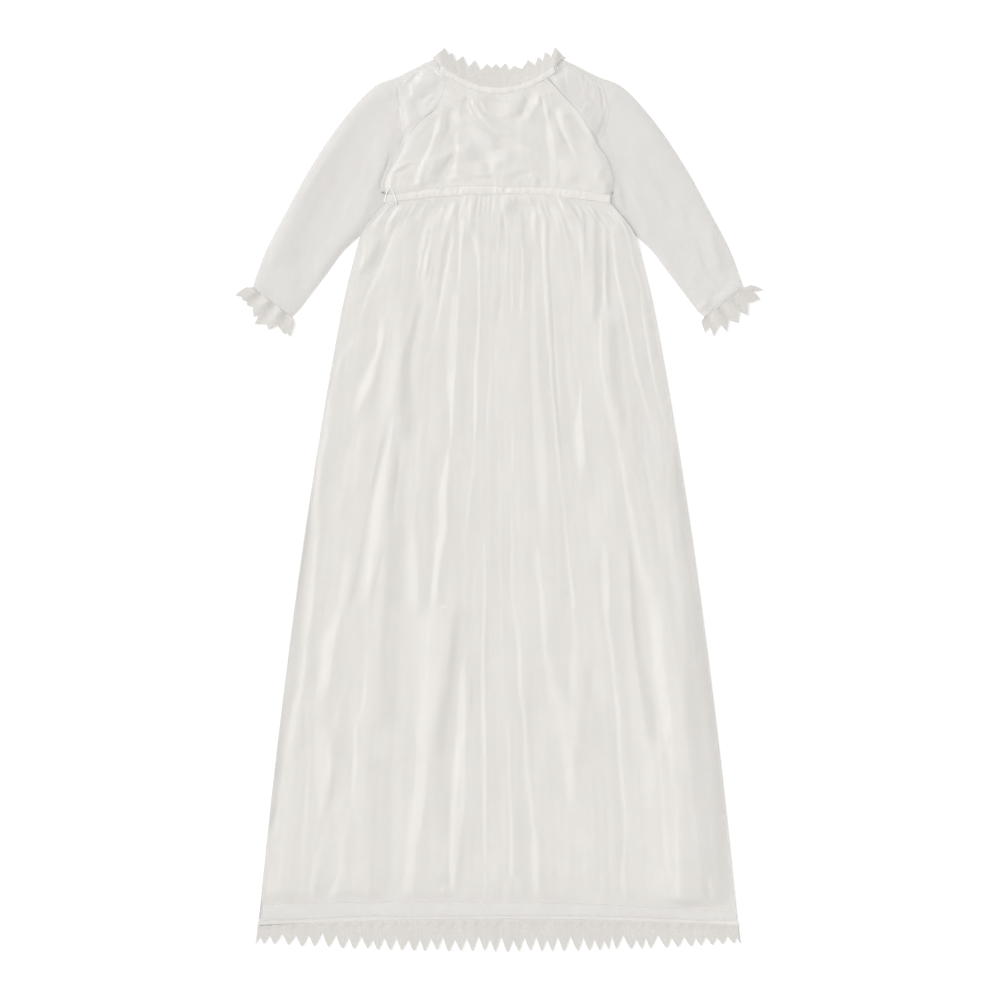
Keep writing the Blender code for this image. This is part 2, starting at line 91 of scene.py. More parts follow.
HEM_HALF = 252.0
HEM_Y = -440.0
HEM_DROP = 6.5
HEM_FOLD_DEPTH = 3.4
SKIRT_ACROSS = 400.0  # middle width of the skirt, along which its unevenness is measured
SLIP_ABOVE_HEM = (22, 14)  # the slip's front lies down this far above the hem, at the left and at the right
SLIP_ROWS_OFF = (7.4, 4.6)  # rows that the slip's front is shorter than the dress
SLIP_BACK_ROWS_OFF = (3.9, 2.6)  # and its back
HEM_TIPS_HALF = 254.5
HEM_TIPS_Y = -475.0
HEM_TIPS_RISE = 9.0
HEM_TIPS = [  # x of the points of the hem lace
    -246, -235, -220, -206, -193, -178, -163, -151, -137, -126, -113, -101, -88, -77, -64, -52, -39, -27,
    -14, -3, 10, 22, 34, 46, 57, 69, 84, 96, 107, 116, 124, 140, 151, 160, 177, 189, 203, 213, 225, 236, 248,
]

NECK_HALF = 61.0
NECK_Y = 426.0
NECK_RISE = 23.0
BINDING_HEIGHT = 6.0
BINDING_TOP_HALF = 58.5
NECK_CORNER_X = 52.0
LACE_LEAVES_NECK = 60.0  # the lace runs on past the binding from this x

SLEEVE_LENGTH = 330.0
SLEEVE_ACROSS = 120.0
ARMHOLE_TOP = 388.0  # below this y the slip's front lies down beside the armhole
RAGLAN_SPAN = (322.0, 440.0)  # between these y a sleeve is kept off the bodice
ARMHOLE_CORNER = 34  # step of the raglan seam where a sleeve's head ends and its underside begins
ON_THE_BODY = 30.0  # length of the underarm that still lies at the body's height

# The outlines are points of x and y. A table by side has -1 for the left and 1 for the right.
SKIRT_SIDE = [
    (118.0, 310.7), (127.5, 300.0), (142.8, 280.0), (152.0, 250.0), (163.8, 200.0), (178.4, 120.0),
    (193.2, 30.0), (208.0, -70.0), (222.4, -180.0), (236.6, -300.0), (252.0, -446.5),
]
RAGLAN = {
    -1: [
        (-52.0, 442.1), (-59.0, 424.0), (-66.0, 409.0), (-78.0, 400.0), (-88.0, 389.0), (-97.0, 378.0),
        (-102.0, 366.0), (-109.5, 354.0), (-116.5, 342.0), (-120.5, 330.0), (-119.0, 320.0),
    ],
    1: [
        (52.0, 442.1), (69.0, 423.0), (85.0, 405.5), (95.5, 389.0), (104.5, 372.0), (113.5, 359.0),
        (120.0, 340.0), (119.0, 320.0),
    ],
}
SLEEVE_FOLD = [
    (66.0, 462.5), (72.0, 460.0), (83.5, 454.6), (104.0, 444.0), (126.0, 435.5), (144.0, 420.0),
    (170.0, 388.5), (198.0, 346.0), (221.0, 304.0), (243.0, 262.0), (258.0, 222.0),
]
UNDERARM = [
    (117.6, 309.6), (125.9, 298.8), (141.4, 280.2), (161.0, 262.0), (177.0, 241.0),
    (193.0, 220.0), (209.0, 199.0), (217.0, 191.6),
]
SLEEVE_NECK = [(61.5, 456.5), (60.0, 450.5)]
CUFF_EDGE = {
    -1: [
        (-263.5, 223.0), (-269.0, 220.5), (-276.0, 214.2), (-269.0, 213.4), (-268.5, 209.5), (-263.8, 208.2),
        (-263.2, 203.8), (-257.5, 201.6), (-256.6, 192.0), (-250.8, 194.5), (-255.4, 184.2), (-243.5, 184.0),
        (-240.7, 178.4), (-232.0, 183.0), (-224.2, 173.4), (-222.4, 175.8), (-218.4, 170.8), (-213.8, 184.5),
    ],
    1: [
        (264.5, 225.0), (271.0, 224.0), (278.3, 220.0), (267.2, 218.8), (270.5, 216.0), (275.0, 210.5),
        (269.0, 208.0), (262.8, 206.3), (262.4, 192.8), (253.5, 198.0), (252.0, 185.2), (242.3, 188.6),
        (240.0, 176.2), (233.4, 184.8), (226.3, 171.4), (222.6, 182.0), (217.4, 175.4), (213.6, 186.0),
    ],
}
SHOULDER_EDGE = {
    -1: [(-105.0, 436.5), (-109.0, 427.0), (-106.0, 409.0), (-103.0, 392.0)],
    1: [(110.0, 434.0), (115.0, 416.0), (115.5, 402.0), (111.0, 386.0)],
}
NECK_EDGE = [
    (-68.0, 464.3), (-62.0, 469.0), (-56.0, 474.2), (-52.0, 466.5), (-48.3, 469.2), (-44.1, 459.4),
    (-36.8, 465.7), (-32.0, 453.1), (-24.2, 461.5), (-19.0, 449.5), (-11.6, 457.3), (-6.8, 452.5),
    (-2.1, 457.3), (2.1, 452.5), (7.9, 458.3), (11.0, 449.5), (16.8, 455.4), (25.2, 451.5), (31.5, 461.5),
    (38.8, 455.2), (41.9, 464.6), (47.0, 460.5), (49.4, 469.9), (56.2, 464.5), (59.4, 475.3), (64.5, 469.3),
    (69.8, 463.8),
]

# The loop at the waist band's left end, as x, y and height, and the width and thickness of its strip.
LOOP = [(-119, 311, 4.6), (-117, 321, 5.0), (-113, 326.5, 5.2), (-108.5, 320, 5.0), (-106, 310, 4.7)]
LOOP_STRIP = (1.6, 0.6)
SIDE_SEAM_WIDTH = 0.9
SIDE_SEAM_HEIGHT = {-1: 2.4, 1: 0.8}

# ---------------------------------------------------------------- folds of the cloth, mm

# A streak is a place where the cloth leans: towards the window where lean is above 0, away from it below 0.
# It runs down its path of (x, y, half width). The cloth's height is summed up across them.
Streak = namedtuple("Streak", "lean path")
STEEP = 0.3  # slope of a streak whose lean is 1
SHOULDER_LEAN = {-1: 1.3, 1: -1.3}  # the streaks of a side are so many times as steep
SLEEVE_LEAN = {-1: 1.6, 1: -2.5}  # on the right they are below 0, because the rows run the other way there


def streaks(*rows):
    """The streaks of a table, whose rows hold the lean and then the points of the path."""
    return [Streak(lean, path) for lean, *path in rows]



SKIRT_STREAKS = streaks(
    # waist to knee, from left to right
    (0.8, (-107, 285, 1), (-113, 270, 1.5), (-122, 245, 2), (-131, 225, 2), (-140, 203, 1.7), (-148, 186, 1)),
    (0.7, (-140, 278, 1), (-141, 265, 1), (-142, 250, 2), (-146, 238, 1.4)),
    (0.35, (-132, 275, 0.8), (-134, 264, 1.2)),
    (0.6, (-151, 180, 0.8), (-152, 170, 1), (-158, 160, 2.5), (-164, 152, 2.5), (-168, 140, 1.5),
     (-171, 128, 2)),
    (0.4, (-157, 178, 1.5), (-157, 171, 1.5)),
    (-0.7, (-107, 305, 2), (-108, 296, 1.5)),
    (-0.6, (-111, 287, 1.5), (-113, 277, 1.5)),
    (-0.6, (-119, 277, 4), (-124, 262, 6), (-130, 250, 7), (-138, 240, 6), (-145, 230, 4)),
    (0.4, (-115, 293, 1), (-118, 278, 1.2)),
    (0.3, (-125, 301, 4), (-131, 284, 4)),
    (0.45, (-98, 270, 1), (-99, 255, 1.2), (-101, 231, 1)),
    (0.85, (-76, 288, 2), (-79, 272, 2.5), (-82, 256, 2), (-84, 240, 1.3), (-86, 227, 1)),
    (0.6, (-69, 278, 0.8), (-73, 265, 1.5), (-76, 250, 1.8), (-78, 240, 2), (-82, 227, 1.4)),
    (-0.4, (-73, 277, 0.8), (-80, 250, 0.9)),
    (-0.6, (-73, 306, 1.5), (-79, 290, 1.5)),
    (-0.9, (-69, 262, 1), (-71, 255, 1.5), (-73, 243, 1.6), (-76, 230, 1)),
    (-0.7, (-64, 254, 1), (-68, 240, 1), (-71, 226, 1.3)),
    (0.5, (-70, 242, 0.8), (-74, 227, 0.8)),
    (-0.8, (-53, 310, 1), (-52, 295, 1)),
    (-0.9, (-52, 284, 1.5), (-56, 265, 3), (-58, 250, 3), (-60, 235, 2.5), (-62, 220, 2), (-64, 202, 1.4)),
    (0.75, (-48, 287, 1), (-48, 270, 1.3), (-51, 255, 1.2), (-54, 240, 1.3), (-57, 225, 1.4),
     (-60, 205, 1.1), (-64, 185, 1.5), (-68, 172, 1.1)),
    (-0.8, (-43, 302, 1), (-44, 283, 1.2)),
    (0.9, (-38, 298, 2.2), (-38, 285, 2.5), (-39, 270, 2), (-40, 250, 1.4), (-41, 225, 1.1)),
    (0.7, (-29, 311, 1), (-29, 302, 1), (-31, 292, 1)),
    (-0.7, (-28, 293, 4), (-24, 282, 1.5)),
    (0.9, (-27, 284, 1.2), (-24, 272, 3.3), (-22, 260, 2.2), (-20, 248, 1.4), (-20, 215, 1.6),
     (-21, 175, 1.4), (-24, 132, 1.5), (-24, 100, 1.6), (-25, 60, 1.1)),
    (0.5, (-20, 299, 1), (-19, 288, 0.9)),
    (0.7, (1, 302, 1.3), (1, 285, 1.2), (-1, 255, 1)),
    (-0.7, (4, 302, 1.8), (4, 278, 1.4)),
    (0.5, (8, 302, 0.9), (9, 280, 0.9), (8, 228, 0.9)),
    (-0.6, (-4, 303, 1), (-5, 290, 1)),
    (-0.5, (-7, 275, 1), (-8, 250, 1), (-7, 220, 1.5)),
    (0.4, (-4, 232, 0.8), (-3, 214, 0.8)),
    (0.4, (-6, 212, 0.9), (-6, 201, 0.9)),
    (-0.5, (-1, 213, 2.5), (-1, 199, 2.5)),
    (0.8, (5, 202, 1), (2, 192, 3), (1, 184, 2.6)),
    (0.35, (1, 184, 3), (-1, 165, 3), (-2, 130, 3), (1, 60, 2), (3, -65, 1.5), (4, -150, 2), (5, -225, 2)),
    (1.0, (-122, 192, 2), (-123, 175, 4), (-125, 158, 3), (-131, 142, 3.2), (-136, 130, 6), (-141, 118, 7),
     (-146, 105, 5), (-152, 88, 3)),
    (0.35, (-111, 215, 8), (-111, 165, 8), (-114, 130, 9), (-122, 90, 9)),
    (0.5, (-102, 206, 1.2), (-102, 188, 1)),
    (0.45, (-99, 170, 1), (-101, 159, 1), (-105, 143, 1.2)),
    (-0.7, (-80, 214, 3), (-85, 193, 3), (-90, 172, 4), (-96, 152, 5), (-97, 130, 6), (-96, 100, 8),
     (-94, 60, 8)),
    (0.35, (-75, 224, 1.5), (-76, 191, 1.5)),
    (0.4, (-66, 176, 1.5), (-70, 160, 2), (-75, 140, 2), (-78, 100, 1), (-81, 75, 1.5), (-84, 50, 3),
     (-83, 20, 2.6), (-88, 8, 3)),
    (0.6, (-44, 222, 3), (-46, 195, 4), (-48, 150, 4.5), (-49, 133, 5)),
    (1.0, (-49, 140, 5), (-50, 115, 4), (-49, 98, 2), (-49, 80, 1.8), (-49, 60, 1.3)),
    (0.4, (15, 287, 1.2), (15, 260, 1), (14, 235, 1.5), (15, 190, 1)),
    (0.75, (23, 277, 0.9), (25, 262, 1.2), (26, 245, 1.5), (25, 215, 1.5), (24, 186, 1)),
    (-0.6, (25, 304, 1), (26, 280, 2), (29, 260, 2)),
    (0.8, (36, 308, 2), (36, 290, 3), (35, 275, 2.5)),
    (0.4, (38, 257, 1), (37, 225, 3), (37, 190, 3), (39, 130, 4), (41, 100, 5), (45, 40, 7), (47, -15, 6)),
    (-0.35, (42, 306, 3), (42, 266, 3)),
    (0.85, (48, 300, 1), (47, 260, 1.4), (49, 225, 1.2), (52, 180, 1.8), (55, 140, 1.6), (58, 98, 1.4),
     (61, 65, 1.5), (66, 15, 1.3), (70, -25, 1.4), (74, -65, 1.5), (78, -100, 2.2), (79, -124, 2.6)),
    (-0.7, (53, 300, 1.8), (52, 265, 1.4), (54, 225, 1.6), (57, 180, 1.4), (59, 125, 1.2), (64, 70, 1.1),
     (67, 40, 1)),
    (0.6, (57, 311, 1.6), (56, 294, 1.6)),
    (0.3, (58, 283, 2.6), (57, 260, 3), (58, 243, 2)),
    (0.6, (59, 195, 1), (60, 165, 1.3), (62, 140, 1.4), (65, 105, 1.4), (69, 86, 1)),
    (-0.8, (67, 301, 1.6), (72, 285, 2), (76, 275, 2), (81, 266, 1.3)),
    (0.7, (85, 278, 1.8), (86, 265, 2.5), (88, 248, 1.3), (89, 235, 1), (91, 212, 1)),
    (-1.0, (89, 306, 2.4), (91, 285, 1.6), (92, 252, 1)),
    (0.4, (77, 261, 1), (78, 240, 1), (79, 222, 1)),
    (-0.5, (77, 229, 1.3), (77, 170, 1)),
    (0.4, (98, 214, 1), (98, 204, 1)),
    (-0.8, (104, 303, 2), (104, 275, 4), (105, 225, 5), (104, 205, 4), (99, 184, 3)),
    (0.7, (111, 289, 1), (111, 250, 1.3), (111, 215, 1.3), (108, 190, 1.3), (107, 170, 2), (108, 150, 1.2),
     (112, 120, 1.6), (116, 98, 4), (122, 78, 3.4), (125, 58, 1.6), (129, 40, 3), (129, 30, 2)),
    (-0.9, (114, 280, 1.2), (115, 255, 2.2), (116, 230, 3), (116, 200, 2.4)),
    (-0.6, (120, 190, 4), (122, 150, 6), (126, 110, 6), (131, 85, 4), (130, 70, 2)),
    (0.5, (115, 308, 1.2), (116, 296, 1)),
    (0.9, (121, 294, 1), (120, 280, 1.6), (122, 255, 1.4), (127, 220, 2), (132, 200, 1.8), (137, 175, 1.5),
     (143, 142, 1.8), (151, 115, 1.5), (156, 96, 1.3), (163, 74, 1.2)),
    (-0.9, (127, 305, 1), (132, 293, 1.4), (137, 283, 2), (144, 271, 1.4)),
    (0.8, (132, 289, 1), (136, 275, 1.6), (140, 256, 1.9), (144, 242, 1.3), (150, 225, 1), (151, 205, 1.1),
     (157, 165, 1.2), (164, 125, 1.1), (170, 102, 1.2), (179, 72, 1)),
    (-0.5, (158, 215, 2.5), (162, 180, 3), (168, 145, 2.5)),
    (0.35, (72, 168, 2.5), (75, 130, 3.4), (78, 108, 3), (80, 88, 2)),
    (1.0, (86, 128, 1.1), (86, 105, 1.4), (85, 84, 3), (84, 74, 5.4), (85, 58, 5.6), (87, 40, 4.6),
     (88, 24, 1)),
    (-0.5, (73, 88, 1), (76, 65, 1.2), (79, 48, 1.1), (83, 28, 1)),
    (-0.7, (158, 82, 1.2), (158, 60, 1.2)),
    (-0.35, (143, 110, 6), (148, 85, 6), (149, 40, 4)),
    # knee to ankle
    (0.6, (-174, 118, 1.5), (-178, 96, 1.6), (-181, 78, 3), (-182, 65, 4), (-186, 48, 2.8), (-189, 25, 1.9),
     (-191, 5, 2.4), (-190, -25, 3.8), (-193, -62, 2.2), (-196, -95, 3.6), (-198, -120, 3.4),
     (-202, -145, 2), (-204, -180, 2), (-208, -205, 2.2), (-213, -227, 1.4)),
    (0.4, (-147, 72, 2), (-152, 50, 7), (-155, 20, 8), (-158, 4, 4)),
    (0.5, (-144, 74, 1), (-148, 50, 1.2)),
    (0.5, (-144, 47, 0.9), (-145, 33, 0.9)),
    (0.5, (-148, 27, 1), (-149, 11, 0.9)),
    (-0.75, (-117, 80, 1.4), (-122, 55, 1.6), (-128, 30, 1.6), (-132, 10, 1.4), (-137, -10, 1.1),
     (-141, -38, 1.1), (-148, -75, 1.3), (-152, -98, 2), (-160, -118, 1.6)),
    (0.95, (-108, 90, 1), (-111, 78, 1.1), (-113, 65, 2), (-116, 50, 2.6), (-120, 40, 2)),
    (0.6, (-119, 44, 2), (-121, 25, 3.4), (-127, 0, 6), (-130, -30, 6), (-134, -55, 6), (-139, -85, 5.4),
     (-142, -104, 5), (-148, -116, 2.4)),
    (-0.75, (-106, 58, 2.4), (-108, 30, 4), (-113, 5, 4), (-114, -24, 3)),
    (-0.4, (-102, 40, 5), (-107, -30, 8), (-109, -75, 9), (-111, -150, 11), (-113, -240, 13)),
    (-0.75, (-120, -42, 1.4), (-124, -65, 1.6), (-129, -85, 1.3), (-133, -100, 1.6), (-138, -108, 1)),
    (0.4, (-158, -60, 5), (-163, -95, 5), (-168, -120, 4)),
    (0.3, (-91, 36, 3), (-93, 12, 3)),
    (0.6, (-90, 2, 1), (-84, -8, 1.3), (-79, -20, 1.1), (-75, -32, 1.5), (-73, -42, 1)),
    (-0.35, (-90, -4, 1), (-85, -16, 1)),
    (-0.55, (-88, -26, 1.4), (-83, -40, 1.6), (-77, -53, 1.8)),
    (0.65, (-91, -32, 3), (-90, -48, 5), (-90, -75, 6.4), (-90, -100, 7), (-88, -122, 8)),
    (0.95, (-52, 60, 1.4), (-53, 45, 2), (-55, 28, 3), (-58, 12, 4), (-58, -25, 4.6), (-61, -48, 4.4),
     (-64, -70, 3), (-66, -88, 3.2), (-67, -102, 4), (-67, -112, 3)),
    (0.6, (-67, 8, 1.1), (-66, -6, 0.9)),
    (0.3, (-67, -18, 1), (-67, -46, 1)),
    (0.25, (-50, -80, 7), (-49, -130, 5)),
    (0.5, (-75, -112, 16), (-75, -140, 22), (-75, -165, 19), (-76, -190, 15), (-77, -220, 12),
     (-78, -250, 8.6), (-79, -280, 5.4)),
    (-0.45, (-42, -120, 4), (-48, -165, 4), (-53, -200, 5), (-58, -230, 5), (-61, -275, 5)),
    (-0.7, (-33, 54, 4), (-33, 38, 4)),
    (0.7, (-24, 52, 1.1), (-27, 30, 1.4), (-30, 5, 1.1), (-33, -20, 1.9), (-34, -34, 1)),
    (-0.6, (-35, -8, 0.9), (-37, -26, 0.9)),
    (0.6, (-7, 140, 1.2), (-8, 118, 1.1), (-11, 90, 1.1), (-11, 66, 1.1)),
    (0.4, (-18, 57, 1), (-18, 40, 1)),
    (0.9, (-15, -38, 1.3), (-14, -75, 1.5), (-15, -130, 1.6), (-16, -180, 2.1), (-15, -230, 2.1),
     (-14, -275, 2), (-14, -350, 2), (-13, -383, 1.4)),
    (0.8, (-14, -385, 1.4), (-14, -404, 1.2), (-15, -414, 1.9), (-15, -425, 1.6)),
    (-0.5, (-28, -36, 2), (-32, -52, 1.6), (-36, -64, 1)),
    (0.75, (16, 74, 1.1), (16, 58, 1.1), (15, 42, 1.5), (15, 26, 1.2)),
    (-0.6, (11, 16, 1), (12, -10, 0.9), (12, -60, 0.9)),
    (0.75, (14, -12, 0.9), (14, -40, 0.9), (15, -62, 1.2), (14, -85, 1.4), (16, -113, 1.2), (17, -123, 2),
     (20, -140, 2.1), (23, -165, 2), (23, -195, 2.1), (25, -213, 2.5), (28, -235, 1.5), (29, -265, 2),
     (31, -290, 2.2), (34, -312, 3), (36, -335, 2.4), (39, -360, 3.6), (39, -390, 4), (41, -418, 4)),
    (0.6, (39, -18, 1.6), (39, -36, 1.1)),
    (0.6, (41, -45, 2.4), (42, -75, 3), (45, -95, 2.6), (48, -122, 4), (49, -142, 3.6), (49, -158, 2.4),
     (53, -172, 4), (55, -190, 5), (58, -206, 7), (65, -217, 13), (68, -228, 16), (70, -244, 14),
     (72, -262, 9), (74, -282, 6), (75, -300, 6), (78, -321, 2.6)),
    (0.4, (80, -128, 2.4), (81, -148, 3), (79, -172, 4), (79, -208, 4.6)),
    (0.5, (49, -148, 1.4), (50, -162, 1.4)),
    (-0.6, (81, -86, 1), (82, -98, 1)),
    (-0.5, (94, -170, 5), (94, -215, 5)),
    (-0.6, (129, 24, 1.1), (134, 4, 1)),
    (0.65, (134, 38, 1.5), (132, 22, 2.2), (135, 5, 1.8), (140, -15, 3.3), (144, -42, 3), (147, -60, 2.6),
     (151, -74, 3.4), (155, -88, 6), (162, -110, 9), (165, -128, 8), (167, -155, 7), (169, -185, 6.2),
     (173, -210, 6.2), (177, -232, 6), (177, -245, 4), (176, -255, 2.4)),
    (-0.75, (138, -45, 1.6), (142, -90, 3.6), (146, -130, 5), (149, -165, 5), (154, -195, 6),
     (160, -235, 6), (163, -262, 3)),
    (0.8, (112, -48, 1.3), (112, -65, 4), (113, -92, 4.4), (114, -118, 3), (116, -138, 1.8),
     (119, -158, 2.4), (121, -178, 1.8), (123, -203, 1.7), (126, -222, 2.4), (127, -252, 1.8),
     (129, -280, 2), (132, -318, 2), (134, -348, 1.4), (132, -370, 1.6), (131, -392, 2.5), (132, -414, 2.3),
     (135, -430, 1.1)),
    (0.3, (99, 8, 5), (102, -40, 6), (104, -70, 5)),
    (0.65, (154, 50, 1.3), (157, 34, 3.2), (160, 20, 3), (161, 5, 2), (166, -4, 3), (169, -12, 2)),
    (0.35, (170, 48, 4), (166, 16, 5), (172, -20, 7), (176, -45, 8), (180, -72, 6)),
    (-0.5, (169, 31, 1.4), (170, 19, 1.2)),
    (0.5, (179, 38, 2), (178, 15, 2.6), (178, -3, 1.6)),
    (-0.5, (185, 60, 2), (190, 20, 4), (196, -30, 6), (203, -90, 9), (208, -150, 12), (217, -300, 24),
     (222, -430, 29)),
    # the lower left
    (-0.8, (-197, -20, 2), (-203, -70, 3.4), (-208, -120, 4), (-213, -170, 4), (-216, -195, 4.6),
     (-221, -225, 4), (-227, -260, 3.4), (-231, -300, 2.4), (-238, -350, 1.8)),
    (-0.5, (-194, -132, 1.1), (-194, -152, 1.6), (-193, -170, 3.6), (-194, -182, 4.4), (-199, -194, 2)),
    (0.75, (-169, -112, 3.4), (-172, -132, 5), (-178, -146, 8), (-181, -158, 8.4), (-180, -172, 7),
     (-182, -186, 6), (-187, -208, 6)),
    (0.5, (-160, -122, 1), (-158, -140, 1.6), (-158, -154, 1)),
    (0.7, (-127, -118, 0.9), (-130, -134, 1.1), (-133, -144, 1)),
    (-0.7, (-124, -115, 1.3), (-124, -130, 1.3)),
    (0.8, (-136, -152, 1), (-136, -165, 1.3), (-139, -180, 1.1), (-140, -200, 2), (-142, -216, 1.4),
     (-144, -228, 1.3), (-150, -239, 2), (-149, -255, 2.6), (-150, -280, 2.4), (-152, -300, 1.2),
     (-153, -312, 1)),
    (0.45, (-217, -232, 2), (-217, -248, 2.4), (-221, -266, 1.4)),
    (-0.65, (-204, -213, 1.2), (-204, -240, 2.1), (-205, -268, 1.7)),
    (-0.4, (-208, -258, 3), (-216, -274, 2)),
    (0.5, (-166, -211, 2), (-169, -228, 2.6), (-174, -242, 3)),
    (0.6, (-186, -236, 7), (-184, -262, 9), (-184, -285, 9), (-185, -305, 5.6), (-186, -322, 2.6),
     (-188, -340, 1.4)),
    (0.4, (-178, -252, 3), (-178, -292, 3)),
    (-0.5, (-172, -284, 3), (-175, -308, 2.6), (-180, -330, 2)),
    (0.65, (-200, -252, 1), (-200, -300, 1.4), (-202, -338, 1.1), (-204, -356, 1.3), (-205, -376, 1)),
    (0.5, (-207, -384, 1), (-207, -396, 1)),
    (0.5, (-207, -406, 1.1), (-207, -420, 1.1)),
    (0.65, (-224, -277, 1), (-225, -290, 1.2), (-228, -306, 1.1)),
    (0.5, (-228, -318, 1.2), (-231, -338, 1.6), (-234, -350, 1.1), (-235, -366, 1)),
    (0.65, (-238, -384, 1), (-239, -402, 1.2), (-241, -412, 2), (-240, -420, 1.8)),
    (0.35, (-210, -324, 2.4), (-217, -340, 2)),
    (0.5, (-156, -325, 1.1), (-158, -340, 1.1), (-162, -360, 1.4)),
    (0.55, (-184, -352, 2), (-188, -368, 3), (-190, -384, 3.4), (-194, -400, 3), (-196, -424, 3)),
    (0.85, (-168, -393, 1), (-170, -404, 2.2), (-173, -412, 4.4), (-173, -420, 4)),
    (0.7, (-176, -422, 2.6), (-176, -428, 2.6)),
    (0.5, (-149, -421, 4), (-149, -428, 4)),
    (0.25, (-164, -335, 4), (-165, -400, 5)),
    (0.6, (-86, -275, 1.4), (-86, -305, 1.5)),
    (0.55, (-78, -270, 4), (-80, -298, 6), (-84, -318, 8), (-87, -340, 6.4), (-91, -362, 6),
     (-92, -388, 5.4), (-95, -402, 6), (-99, -420, 7)),
    (0.7, (-90, -408, 1.5), (-90, -426, 1.5)),
    (0.5, (-105, -420, 2.2), (-105, -438, 2)),
    (-0.6, (-101, -405, 1.2), (-101, -414, 1.2)),
    (-0.35, (-124, -270, 12), (-122, -350, 14), (-124, -425, 12)),
    (0.65, (-36, -162, 1.4), (-37, -182, 3), (-38, -205, 4.2), (-39, -240, 5.4), (-41, -272, 7),
     (-41, -300, 8), (-42, -330, 7), (-46, -370, 5), (-48, -410, 3)),
    (0.5, (-44, -248, 2), (-43, -268, 3), (-45, -295, 3.4), (-48, -325, 2.6), (-49, -372, 2.2),
     (-48, -412, 1.6)),
    (-0.7, (-42, -190, 1.1), (-43, -202, 1.1)),
    (-0.6, (-48, -235, 1.4), (-48, -252, 1.2)),
    (-0.6, (-28, -184, 1.1), (-28, -230, 1.1)),
    (0.5, (-25, -66, 1.1), (-25, -90, 1.1), (-24, -134, 1)),
    (-0.6, (-27, -72, 0.9), (-27, -86, 0.9)),
    (0.35, (-54, -350, 3), (-57, -375, 4), (-58, -400, 4)),
    (1.0, (-54, -401, 1), (-58, -409, 1.6), (-62, -419, 1.2)),
    (0.55, (-63, -424, 5), (-64, -440, 5)),
    (0.8, (10, -236, 1.3), (11, -265, 1.1), (12, -298, 1.6), (14, -335, 1.7), (14, -400, 1.6)),
    (0.35, (6, -285, 3), (6, -365, 3)),
    (-0.6, (14, -238, 1.4), (14, -250, 1.4)),
    (0.7, (7, -400, 3), (8, -434, 3)),
    (0.45, (18, -395, 4), (22, -420, 4)),
    (0.8, (39, -410, 1.2), (38, -428, 1.2)),
    (0.7, (45, -415, 1.3), (42, -429, 1.1)),
    (-0.5, (38, -322, 1), (38, -340, 1)),
    (0.5, (181, -258, 2.2), (182, -288, 2), (187, -303, 3), (188, -335, 2), (188, -395, 2), (191, -430, 2.2)),
    (0.55, (168, -272, 1), (171, -285, 1.1), (173, -320, 1.1), (176, -352, 1.1), (178, -382, 2),
     (183, -402, 2)),
    (0.55, (172, -380, 1), (173, -400, 1.1), (177, -430, 1.6)),
    (-0.5, (174, -264, 2), (175, -278, 2)),
    (0.65, (222, -392, 2), (224, -410, 3), (225, -428, 1.6)),
    (0.5, (110, -390, 1.6), (110, -403, 3.2), (110, -414, 2)),
    (0.9, (102, -414, 1.4), (108, -425, 1.2)),
    (0.7, (100, -424, 1.1), (100, -431, 1)),
    (0.7, (82, -427, 5), (82, -434, 5)),
    (0.5, (70, -408, 1.1), (70, -419, 1.1)),
    (-0.4, (73, -406, 2.2), (73, -416, 2)),
    (0.5, (-39, -415, 3), (-39, -423, 3)),
)

